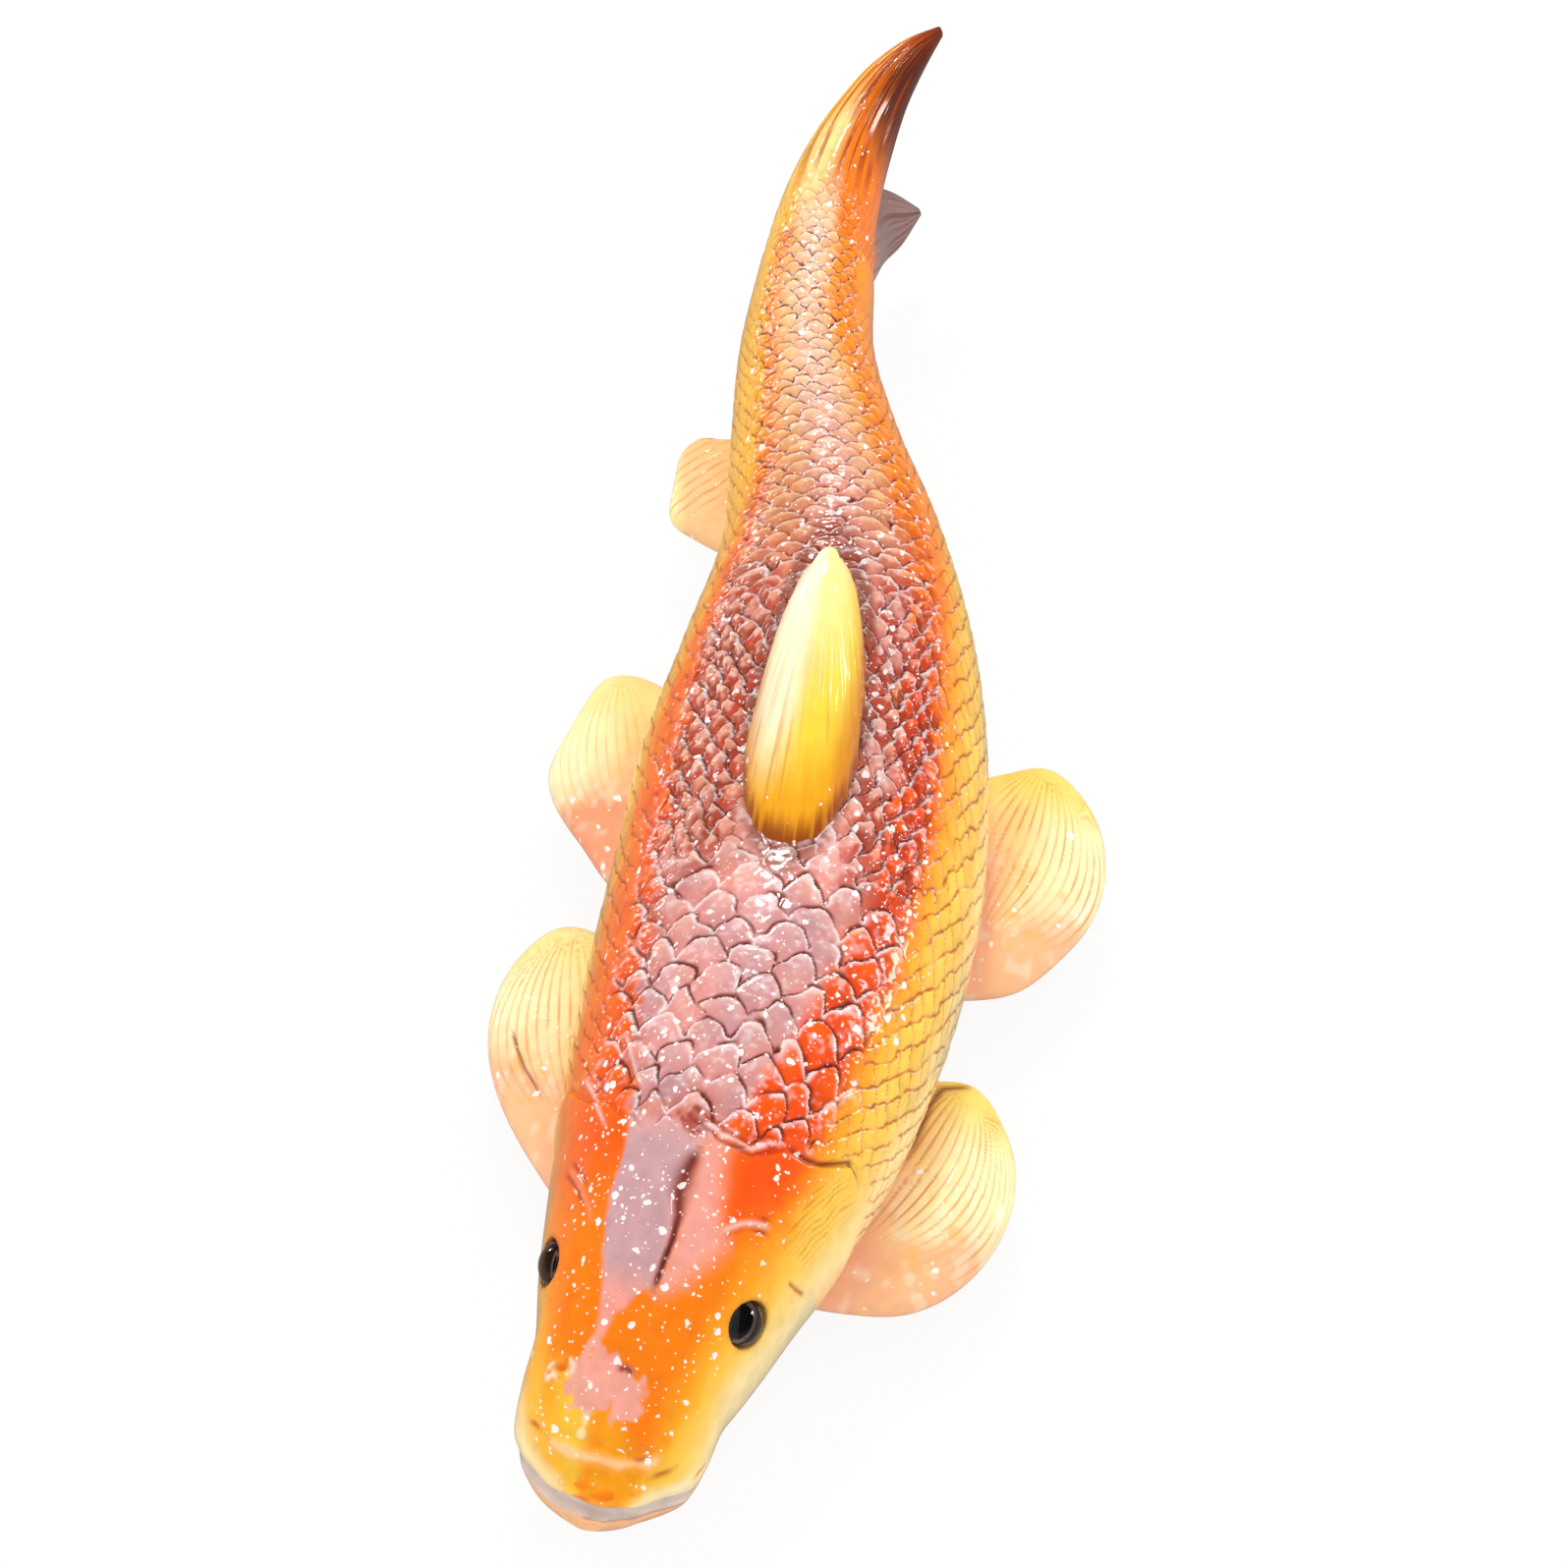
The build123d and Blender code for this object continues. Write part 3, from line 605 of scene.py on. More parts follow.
# Marks on the skin are placed by their share along the body and their turn in degrees
# from the ridge, where the fish's left is positive
GILL_TRACK = [
    (0, -0.378), (20, -0.383), (29, -0.372), (37, -0.359), (46, -0.357), (55, -0.347),
    (65, -0.333), (76, -0.334), (88, -0.343), (100, -0.355), (115, -0.368), (180, -0.370),
]
BAND_LEFT_TRACK = [
    (-0.38, 10), (-0.36, 13), (-0.34, 16), (-0.30, 20), (-0.24, 25), (-0.18, 30), (-0.12, 29),
    (-0.04, 29), (0.04, 31), (0.12, 33), (0.20, 27), (0.30, 22), (0.38, 16), (0.60, 18),
]
BAND_RIGHT_TRACK = [
    (-0.38, -25), (-0.36, -27), (-0.32, -31), (-0.28, -34), (-0.20, -37), (-0.10, -42),
    (0.00, -43), (0.10, -43), (0.18, -38), (0.26, -32), (0.32, -27), (0.47, -24), (0.60, -26),
]
FLANK_LEFT_TRACK = [
    (-0.56, 40), (-0.50, 46), (-0.45, 51), (-0.40, 52), (-0.30, 50), (-0.20, 50), (-0.10, 51),
    (0.00, 51), (0.10, 54), (0.20, 62), (0.30, 76), (0.47, 96), (0.60, 105),
]
FLANK_RIGHT_TRACK = [
    (-0.56, -24), (-0.50, -56), (-0.40, -74), (-0.30, -72), (-0.10, -66), (0.00, -62),
    (0.10, -56), (0.20, -47), (0.26, -38), (0.47, -34), (0.60, -40),
]
CROWN_ZONE = [
    (-0.361, -25.5), (-0.392, -23.5), (-0.404, -23.8), (-0.424, -25), (-0.445, -24.3),
    (-0.460, -22.5), (-0.474, -19.5), (-0.488, -17.3), (-0.497, -15.5), (-0.510, -15.5),
    (-0.510, -11), (-0.497, -8), (-0.491, -3.3), (-0.482, 1), (-0.476, 7), (-0.472, 9),
    (-0.445, 9.4), (-0.429, 9.4), (-0.416, 7), (-0.387, 6.5), (-0.372, 9), (-0.361, 14),
]
CROWN_PINK = [
    (-0.477, 9.5), (-0.474, 15), (-0.466, 21.5), (-0.456, 25.3), (-0.445, 29.2), (-0.434, 32.8),
    (-0.429, 31), (-0.426, 26.2), (-0.417, 23), (-0.402, 20), (-0.386, 16.5), (-0.374, 16),
    (-0.372, 8), (-0.387, 6), (-0.416, 6), (-0.445, 9),
]
HEAD_RED = [
    (-0.387, 17), (-0.375, 18), (-0.355, 24), (-0.345, 38), (-0.353, 46), (-0.372, 48),
    (-0.390, 47), (-0.405, 42), (-0.422, 31), (-0.412, 22),
]
SNOUT_ZONE = [
    (-0.510, -15.3), (-0.516, -6), (-0.521, 7.8), (-0.526, 20.8), (-0.532, 23), (-0.543, 21.2),
    (-0.550, 13), (-0.553, 8), (-0.545, 3), (-0.545, -2), (-0.556, -5), (-0.560, -10),
    (-0.550, -15), (-0.546, -22), (-0.534, -27), (-0.524, -19),
]
SLIT_SPOTS = [(-0.479, 8.6), (-0.460, 8.7), (-0.445, 9.2), (-0.430, 8), (-0.416, 4.5),
              (-0.401, 4.8), (-0.384, 6.2)]
SLIT_WIDTHS = [(-0.475, 0.42), (-0.440, 0.45), (-0.427, 0.9), (-0.410, 1.5), (-0.400, 1.25),
               (-0.384, 0.5)]
NAPE_RIDGE = [(-0.359, -5.3), (-0.366, 3.2), (-0.371, 12.3), (-0.371, 24.5), (-0.365, 27),
              (-0.356, 35.3)]
GILL_LINE = [(-0.356, 34), (-0.356, 40), (-0.355, 44.7), (-0.351, 51.2), (-0.333, 62.2),
             (-0.337, 72)]
RIGHT_BROW = [(-0.397, -55.7), (-0.409, -48), (-0.418, -42.5), (-0.428, -37.7), (-0.445, -30.8)]
LEFT_BROW = [(-0.430, 27), (-0.424, 29.5), (-0.416, 34), (-0.411, 38.5), (-0.406, 46.3)]
CHEEK_CREASE = [(-0.419, 68.7), (-0.415, 77), (-0.409, 85.3)]
RIGHT_RIDGES = [[(-0.380, -34), (-0.362, -41), (-0.345, -48), (-0.330, -55)],
                [(-0.352, -22), (-0.340, -27), (-0.322, -32), (-0.305, -37)]]
NOSTRIL_CRESCENT = [(-0.5245, 1.5), (-0.5215, 6.5), (-0.5235, 12.8)]
RIGHT_NOSTRIL = (-0.5285, -32)
LIP_FOLD = [(-0.563, -36), (-0.567, -28), (-0.569, -13.2), (-0.569, -0.7), (-0.568, 12),
            (-0.567, 22), (-0.559, 39.8), (-0.553, 47)]
LIP_CREASES = [[(-0.553, -57.8), (-0.557, -48.3), (-0.561, -41.8)],
               [(-0.567, 47.3), (-0.562, 51.7), (-0.555, 58), (-0.550, 60.2)],
               [(-0.5625, 25), (-0.561, 33), (-0.556, 41)],
               [(-0.528, 93.7), (-0.538, 88), (-0.546, 82.7)]]


def skin_paint(along, turn, paints):
    """Airbrushed paint of the body: orange, then amber, yellow and cream down the flanks, vermilion
    shoulders, a yellow snout and the back's mauve, rose, russet and peach, each a soft zone in turn. The
    back's mauve and rose are partly a painted reflection of an overhead light, and painted shade darkens the
    skin round the dorsal fin's root."""
    wander = 3 * mottle(along * 60, turn / 9, 11) + 1.5 * mottle(along * 160, turn / 4, 12)
    paint = np.broadcast_to(paints.orange, turn.shape + (3,))
    left = turn > 0
    low = np.where(left, turn - track(along, FLANK_LEFT_TRACK),
                   track(along, FLANK_RIGHT_TRACK) - turn) + 0.7 * wander
    rear = ramp(0.16, 0.32, along)
    head = ramp(-0.36, -0.42, along)
    paint = blend(paint, paints.amber, ramp(-8 - 8 * head, 4 + 6 * head, low) * np.where(left, 1 - rear, 1))
    yellow = np.where(left, 0.9 * (1 - rear), 0.35 + 0.2 * rear)
    paint = blend(paint, paints.yellow, ramp(0, 12 + 10 * head, low) * yellow)
    pale = track(along, [(-0.56, 34), (-0.48, 26), (-0.40, 28), (-0.30, 30), (0.10, 28),
                         (0.25, 50), (0.47, 90)])
    paint = blend(paint, paints.cream, 0.85 * ramp(-14, 14, low - pale))
    paint = blend(paint, paints.amber, 0.45 * ramp(0.12, 0.26, along) * ramp(8, 20, turn))
    # Shoulders: vermilion from the band along the back down to the flanks
    reach = ramp(-0.375, -0.355, along) * (1 - ramp(-0.02, 0.17, along))
    edge = track(along, BAND_LEFT_TRACK)
    strip = ramp(edge - 5, edge + 2, turn + wander) * (1 - ramp(38, 49, turn + 0.6 * wander))
    fleck = ramp(-0.15, 0.45, mottle(along * 55, turn / 8, 21)) * ramp(-0.27, -0.10, along)
    paint = blend(paint, paints.vermilion, 0.92 * reach * strip)
    paint = blend(paint, paints.vermilion * (0.66, 0.36, 1.2), 0.7 * reach ** 2 * strip * fleck)
    reach = ramp(-0.46, -0.37, along) * (1 - 0.5 * ramp(-0.14, 0.00, along))
    reach = reach * (1 - ramp(0.18, 0.30, along))
    edge = track(along, [(-0.46, -22)] + BAND_RIGHT_TRACK)
    strip = ramp(edge + 6, edge - 3, turn) * (1 - ramp(44, 64, -turn + wander))
    paint = blend(paint, paints.vermilion, (0.62 + 0.25 * ramp(-0.34, -0.39, along)) * reach * strip)
    paint = blend(paint, paints.vermilion * (0.75, 0.5, 1), 0.6 * reach * strip * fleck)
    # Snout: yellow round the patch and on its right
    snout = ramp(-0.530, -0.545, along + 0.0006 * (turn + 8))
    paint = blend(paint, paints.yellow * (1, 0.97, 0.55), 0.85 * snout * ramp(24, 2, np.abs(turn + 18)))
    paint = blend(paint, paints.amber * (1, 0.92, 0.3), 0.8 * snout * ramp(28, 12, np.abs(turn - 20)))
    # Band along the back: mauve and rose that are partly paint, partly a painted reflection of an overhead
    # light, with russet beside the dorsal fin and peach towards the tail
    soft = track(along, [(-0.38, 1.6), (-0.34, 4), (0.10, 5), (0.25, 10), (0.60, 12)])
    strip = np.minimum(turn - track(along, BAND_RIGHT_TRACK), track(along, BAND_LEFT_TRACK) - turn) + wander
    band = ramp(-soft, soft, strip) * ramp(-0.372, -0.356, along)
    back = np.broadcast_to(paints.mauve_and_reflection, paint.shape)
    blush = 0.35 + 0.4 * mottle(along * 40, turn / 14, 14) + ramp(-0.22, -0.15, along) * 0.3
    back = blend(back, paints.rose, blush)
    side = np.where(left, 0.55, 0.95)
    warm = np.where(left[..., None] | (turn > -10)[..., None], (1.0, 1.0, 1.0), (0.84, 0.70, 0.55))
    reach = track(along, [(-0.19, 0), (-0.10, 0.8), (0.16, 0.8), (0.24, 0.3), (0.32, 0)])
    back = blend(back, paints.russet * warm, side * reach)
    pale_back = paints.peach * 0.50 + paints.cream * 0.35 + 0.10
    back = blend(back, pale_back, track(along, [(0.10, 0), (0.20, 0.4), (0.28, 0.75), (0.34, 1)]))
    paint = blend(paint, back, band)
    warm = ramp(0.08, 0.2, along) * ramp(6, 20, np.abs(turn)) * ramp(62, 50, np.abs(turn))
    paint = paint * (1 - warm[..., None] * (0.0, 0.01, 0.33))
    # Painted shade: a dark ring on the skin round the dorsal fin's root, where the fin meets the back
    gap = np.hypot(along / 0.155, turn / 19)
    painted_shade = ramp(1.17, 0.98, gap) * ramp(-0.19, -0.165, along)
    return blend(paint, paints.russet * 0.2 + paints.umber * 0.8, 0.9 * painted_shade)


class SkinMarks:
    """Adds up marks on the skin: relief in metres along the normal, and coats of paint."""

    def __init__(self, along, turn, radius, paint):
        self.along, self.turn, self.radius = along, turn, radius
        self.aside = np.abs(turn)
        self.first = along * BODY_LENGTH
        self.second = np.radians(turn) * radius
        self.height = np.zeros(np.broadcast(along, turn).shape)
        self.paint = paint

    def spots(self, rows):
        """Marks' places, in shares and degrees, as lengths along and round the skin."""
        shares, degrees = np.array(rows, float).T
        order = np.argsort(self.along[:, 0], kind="stable")
        around = np.interp(shares, self.along[order, 0], self.radius[order, 0])
        return np.column_stack([shares * BODY_LENGTH, np.radians(degrees) * around])

    def coat(self, colour, cover):
        """Lays a coat over the paint so far."""
        self.paint = blend(self.paint, colour, cover)

    def line(self, rows, taper=0.16):
        """Distance to a line of marks, and how strong it is: 1, thinning at both ends."""
        gap, place = polyline_distance(self.first, self.second, self.spots(rows))
        strength = ramp(0, taper, place) * ramp(1, 1 - taper, place)
        return gap, np.where((place > 0) & (place < 1), np.maximum(strength, 0.25), 0.0)

    def stroke(self, rows, rise, width, colour, cover, soft, taper=0.16):
        """A line of marks: relief of a rise and half width and a coat of a cover and half
        width, with the rise and both widths in millimetres."""
        gap, strong = self.line(rows, taper)
        self.height += rise * MM * strong * bell(gap, width * MM)
        self.coat(colour, cover * strong * bell(gap, soft * MM))

    def zone(self, rows, soft, ragged=0.0, seed=17):
        """Cover of a zone with soft and, if asked, ragged edges: 1 inside and 0 outside."""
        spots = self.spots(rows)
        gap = polyline_distance(self.first, self.second, np.concatenate([spots, spots[:1]]))[0]
        gap = np.where(inside(self.first, self.second, spots), gap, -gap)
        gap = gap + ragged * mottle(self.first / (1.1 * MM), self.second / (1.1 * MM), seed)
        return ramp(-soft, soft, gap)


def scale_marks(marks, level, gill, places, sizes, paints):
    """Scales of the body, with rough pockets beside the band along the back, frost on the back, painted
    shade on each scale just behind the free edge of the scale ahead, painted highlights along the free edges
    and a dark line in each crevice. Returns the grit that roughens them."""
    along, turn, aside = marks.along, marks.turn, marks.aside
    (lift, rim, crevice, tone), rows = scale_pattern(places, turn, sizes.scales_round)
    flank = ramp(44, 52, aside + 4 * mottle(rows, turn / 8, 8))
    scaled = ramp(0.2 * MM, 3.2 * MM, gill) * ramp(9 * MM, 15 * MM, level)
    scaled = scaled * (1 - flank * ramp(0.36, 0.462, along))
    rough = ramp(13, 22, aside) * ramp(50, 40, aside) * ramp(-0.22, -0.12, along)
    rough = np.maximum(rough, ramp(0.10, 0.15, along) * ramp(44, 34, aside))
    rough = rough * (1 - 0.5 * ramp(0.09, 0.16, along)) * (1 - 0.75 * ramp(0.18, 0.34, along))
    rough = np.maximum(rough, 0.55 * ramp(0.5, 1.0, aside / 38) * ramp(50, 42, aside))
    rough = np.maximum(rough, 0.6 * bell(along + 0.362, 0.022) * ramp(34, 20, aside))
    strength = scaled * (0.62 + 0.5 * rough - 0.10 * flank)
    strength = strength * track(along, [(0.24, 1.0), (0.36, 0.7), (0.47, 0.5)])
    grit = mottle(rows * 5, turn / 2.2, 26) + 0.6 * mottle(rows * 11, turn / 1.1, 27)
    broken = np.clip(0.60 + 0.8 * mottle(rows * 1.6, turn / 6, 6) + 0.35 * rough, 0, 1.1)
    line = ramp(0.85, 0.95, crevice)
    pocket = ramp(0.22, 0.50, crevice * (0.5 + 0.5 * broken) + 0.16 * grit) * rough
    pocket = pocket * ramp(-0.8, 0.0, 0.7 * tone + 0.8 * mottle(rows * 0.9, turn / 7, 28) + 0.3)
    marks.height += strength * sizes.scale_lift * (lift - 0.55)
    marks.height -= strength * sizes.crevice_depth * (line * broken + 0.8 * pocket)
    marks.height += scaled * (0.35 + rough) * 0.07 * MM * grit
    stock = ramp(0.06, 0.22, along) * ramp(8, 26, aside)
    frost = ramp(0.1, 1.0, mottle(rows * 7, turn / 1.6, 45) + 0.5 * mottle(rows * 2, turn / 7, 46))
    marks.coat(paints.rose * 0.2 + 0.76, 0.42 * frost * scaled * (1 - flank) * (1 - 0.75 * stock))
    marks.paint = marks.paint * (1 + scaled * (0.08 * tone + 0.06 * grit * rough))[..., None]
    # Painted shade: each scale darker, most in green and blue, just behind the free edge of the scale ahead
    painted_shade = (scaled * ramp(0.1, 1.0, crevice) * (0.9 - 0.35 * flank + 0.2 * rough))[..., None]
    marks.paint = marks.paint * (1 - painted_shade * (0.08, 0.30, 0.30))
    deep = track(along, [(-0.40, 0.2), (-0.30, 0.45), (-0.15, 0.95), (0.08, 0.95),
                         (0.20, 0.75), (0.32, 0.3)])
    marks.coat(paints.garnet * (1 + 0.3 * tone)[..., None], 0.92 * pocket * scaled * deep)
    # Painted highlight: pale rose lines along the scales' free edges, in broken stretches
    shine = ramp(-0.35, 0.25, mottle(rows * 2.1, turn / 3.5, 9) + 0.35 * (rough - flank))
    shine = rim * scaled * shine * (0.75 + 0.25 * rough - 0.4 * flank) * (1 - 0.35 * stock)
    marks.coat(paints.rose * 0.2 + 0.78, shine)
    dark = blend(np.broadcast_to(paints.umber * 1.25, marks.paint.shape),
                 paints.orange * (0.46, 0.34, 1) + (0, 0, 0.004), flank)
    line = np.maximum(line, flank * ramp(0.68, 0.90, crevice))
    marks.coat(dark, line * ramp(0.15, 0.7, broken + 0.2 * flank) * scaled * (1 - 0.15 * flank))
    return grit


def gill_marks(marks, level, gill, paints):
    """Gill covers, whose rear edge stands over the body with fine rays ahead of it, and the ridge across the
    nape, with a painted highlight along its top."""
    along, turn, aside = marks.along, marks.turn, marks.aside
    cover = ramp(24, 32, aside) * ramp(8 * MM, 13 * MM, level)
    marks.height += 0.42 * MM * cover * bell(np.minimum(gill, 0), 4.5 * MM) * (gill < 0)
    marks.height -= 0.35 * MM * cover * bell(gill - 0.25 * MM, 0.42 * MM)
    marks.stroke(GILL_LINE, -0.3, 0.35, paints.garnet * 0.8, 0.9, 0.32)
    gap, strong = marks.line(NAPE_RIDGE)
    gap = gap + 0.25 * MM * mottle(along * 300, turn / 4, 42)
    marks.height += 0.3 * MM * strong * bell(gap, 0.42 * MM)
    # Painted highlight: a pale line along the top of the nape ridge
    marks.coat(paints.rose * 0.4 + 0.56, 0.85 * strong * bell(gap, 0.30 * MM))
    marks.coat(paints.garnet, 0.7 * strong * bell(gap - 0.75 * MM, 0.28 * MM))
    fan = ramp(50, 56, turn) * ramp(82, 70, turn)
    fan = np.maximum(fan, 0.5 * ramp(50, 56, -turn) * ramp(82, 70, -turn))
    fan = fan * ramp(-0.412, -0.395, along) * ramp(-0.5 * MM, -3.0 * MM, gill)
    stripe = np.cos(np.radians((aside - 150 * (along + 0.37)
                                + 1.2 * mottle(along * 70, turn / 5, 29)) * 360 / 2.6))
    stripe = ramp(0.2, 1, stripe) * np.clip(0.7 + 0.6 * mottle(along * 90, turn / 2, 30), 0, 1)
    marks.height -= 0.14 * MM * fan * stripe
    marks.coat(paints.orange * (0.72, 0.62, 0.4), 0.62 * fan * stripe)


def crown_marks(marks, grit, sizes, paints):
    """Crown slit, brows, cheek crease, the ridges beside the nape and the dip in it, with painted highlights
    along the brows and ridges.
    """
    along, turn, aside = marks.along, marks.turn, marks.aside
    gap, strong = marks.line(SLIT_SPOTS, 0.10)
    width = track(along, SLIT_WIDTHS) * MM
    marks.height -= (sizes.slit_depth * strong * bell(gap, width)
                     - 0.25 * MM * strong * bell(gap - 2 * width, width))
    marks.coat(paints.garnet * 0.35 + paints.umber * 0.65, 0.95 * strong * bell(gap, width * 0.95))
    for spots, coat, tail_coat in ((RIGHT_BROW, 0.2, 0.7), (LEFT_BROW, 0.8, 0.8)):
        gap, strong = marks.line(spots)
        marks.height += 0.28 * coat * MM * strong * bell(gap, 0.40 * MM)
        marks.height -= 0.2 * MM * strong * bell(gap - 0.8 * MM, 0.3 * MM)
        # Painted highlight: a pale line along each brow
        marks.coat(paints.rose * 0.7 + 0.26, coat * strong * bell(gap, 0.34 * MM))
        marks.coat(paints.garnet, tail_coat * strong * bell(gap - 0.8 * MM, 0.28 * MM)
                   * ramp(38, 43, aside))
    marks.stroke(CHEEK_CREASE, -0.25, 0.35, paints.orange * 0.5, 0.8, 0.28)
    # Painted highlights: pale lines along the raised ridges beside the nape
    for spots in RIGHT_RIDGES:
        marks.stroke(spots, 0.25, 0.42, paints.rose * 0.5 + 0.45, 0.7, 0.28)
    # Dip and dark scales where the slit ends at the nape
    first, second = marks.spots([(-0.368, 0.5)])[0]
    nape = np.hypot(marks.first - first, marks.second - second)
    nape = nape + 0.8 * MM * mottle(along * 200, turn / 3, 33)
    marks.coat(paints.garnet, 0.8 * ramp(2.6 * MM, 1.0 * MM, nape + 0.7 * MM * grit))
    marks.height -= 0.5 * MM * bell(nape, 2.0 * MM)


def nostril_marks(marks, paints):
    """A dark crescent on the left of the snout and a pit on its right, with a painted highlight on its rim
    and painted shade inside it.
    """
    along, turn = marks.along, marks.turn
    marks.stroke(NOSTRIL_CRESCENT, -0.5, 0.4, paints.garnet, 0.9, 0.42, 0.3)
    first, second = marks.spots([RIGHT_NOSTRIL])[0]
    away = np.hypot((marks.first - first) * 1.3, (marks.second - second) * 0.75)
    away = away + 0.5 * MM * mottle(along * 260, turn / 4, 34)
    marks.height += 0.3 * MM * bell(away - 1.3 * MM, 0.5 * MM) - 0.5 * MM * bell(away, 0.7 * MM)
    ragged = ramp(-0.3, 0.5, mottle(along * 330, turn / 5, 40))
    # Painted highlight: a ragged cream rim round the pit
    marks.coat(paints.cream * 0.6 + 0.38, 0.8 * ragged * bell(away - 1.4 * MM, 0.40 * MM))
    # Painted shade: darker orange inside the pit
    marks.coat(paints.orange * (0.8, 0.6, 0.5), 0.6 * bell(away, 0.7 * MM))


def mouth_marks(marks, points, sizes, paints):
    """Upper lip with its fold and a painted highlight along it, the pale trough under it, the lower lip and
    their creases.
    """
    along, turn, aside = marks.along, marks.turn, marks.aside
    level = points[..., 2]
    lip = track(along, [(-0.587, 16.2), (-0.571, 16.2), (-0.555, 15.5), (-0.540, 14.2)]) * MM
    side, depth = points[..., 0] / MM, points[..., 1] / MM
    lip = lip + 0.3 * MM * mottle(side / 3.2, depth / 9, 35)
    mouth = ramp(-0.536, -0.556, along)
    corner = 1 - 0.75 * ramp(52, 84, aside)
    marks.height += 0.35 * MM * mouth * corner * bell(level - lip - 1.2 * MM, 1.0 * MM)
    trough = ramp(0.15 * MM, -0.35 * MM, level - lip)
    trough = trough * ramp(-3.4 * MM, -1.8 * MM, level - lip)
    marks.height -= sizes.lip_depth * mouth * corner * trough
    marks.height += 0.2 * MM * mouth * corner * bell(level - lip + 4.2 * MM, 1.1 * MM)
    under = ramp(0.1 * MM, -0.3 * MM, level - lip)
    lips = mouth * ramp(3.6 * MM, 1.6 * MM, level - lip)
    marks.coat(paints.cream, 0.75 * lips * ramp(-18, -40, turn) * ramp(-179, -140, turn))
    marks.coat(paints.cream * 0.75 + 0.2, 0.8 * lips * ramp(48, 62, turn) * ramp(179, 140, turn))
    drop = depth + level / MM
    blotch = mottle(side / 1.8, drop / 1.3, 36) + 0.5 * mottle(side / 0.8, drop / 0.7, 37)
    blotch = ramp(0.0, 0.5, blotch + 0.1)
    marks.coat(paints.orange * (0.98, 0.85, 1), 0.8 * lips * blotch * ramp(46, 34, np.abs(turn - 10)))
    gap, strong = marks.line(LIP_FOLD, 0.08)
    gap = gap + 0.3 * MM * mottle(side / 2.2, depth / 2.2, 44)
    marks.height += 0.3 * MM * strong * bell(gap, 0.55 * MM)
    marks.height -= 0.25 * MM * strong * bell(gap - 1.1 * MM, 0.4 * MM)
    # Painted highlight: a pale peach line along the top of the lip's fold
    marks.coat(paints.peach * 0.5 + paints.cream * 0.5, 0.9 * strong * bell(gap, 0.42 * MM))
    for spots in LIP_CREASES:
        marks.stroke(spots, -0.3, 0.32, paints.orange * (0.62, 0.42, 0.4), 0.8, 0.26, 0.45)
    marks.coat(paints.peach * (1, 1.05, 1), 0.9 * mouth * under)
    grey = under * ramp(-3.5 * MM, -2.7 * MM, level - lip)
    cloud = 1 + 0.12 * mottle(side / 1.5, level / (0.9 * MM), 38)
    marks.coat(paints.ash * cloud[..., None], 0.95 * mouth * grey)
    rim_line = bell(level - lip + 0.2 * MM, 0.22 * MM) + 0.7 * bell(level - lip + 3.1 * MM, 0.25 * MM)
    uneven = ramp(-0.6, 0.5, mottle(side / 3, depth / 3, 39) + 0.012 * turn)
    marks.coat(paints.umber * 1.6, 0.6 * mouth * rim_line * uneven)


def eye_marks(marks, points, paints):
    """A swelling round each eye, a soft dark ring on the skin that painted shade makes stronger below and
    behind the eye, and the socket.
    """
    along, level = marks.along, points[..., 2]
    for side_name in ("left", "right"):
        middle, axis = eye_frame(side_name)
        away = np.linalg.norm(np.cross(points - middle, axis), axis=-1)
        near = np.einsum("...i,i", points - middle, axis) > -12 * MM
        marks.height += 0.40 * MM * bell(away, 4.6 * MM) * near
        # Painted shade: the wide dark ring grows stronger below the eye and towards its rear
        low = np.clip(0.65 - (level - middle[2]) / (9 * MM) + 0.5 * (along + 0.459) * 60, 0.3, 1)
        marks.coat(paints.umber * 0.8, 0.75 * near * low * bell(np.maximum(away - 3.0 * MM, 0), 0.75 * MM))
        marks.coat(paints.umber * 0.45, 0.9 * near * bell(np.maximum(away - 3.0 * MM, 0), 0.28 * MM))
        marks.height -= SOCKET_DEPTH * near * ramp(3.35 * MM, 2.95 * MM, away)


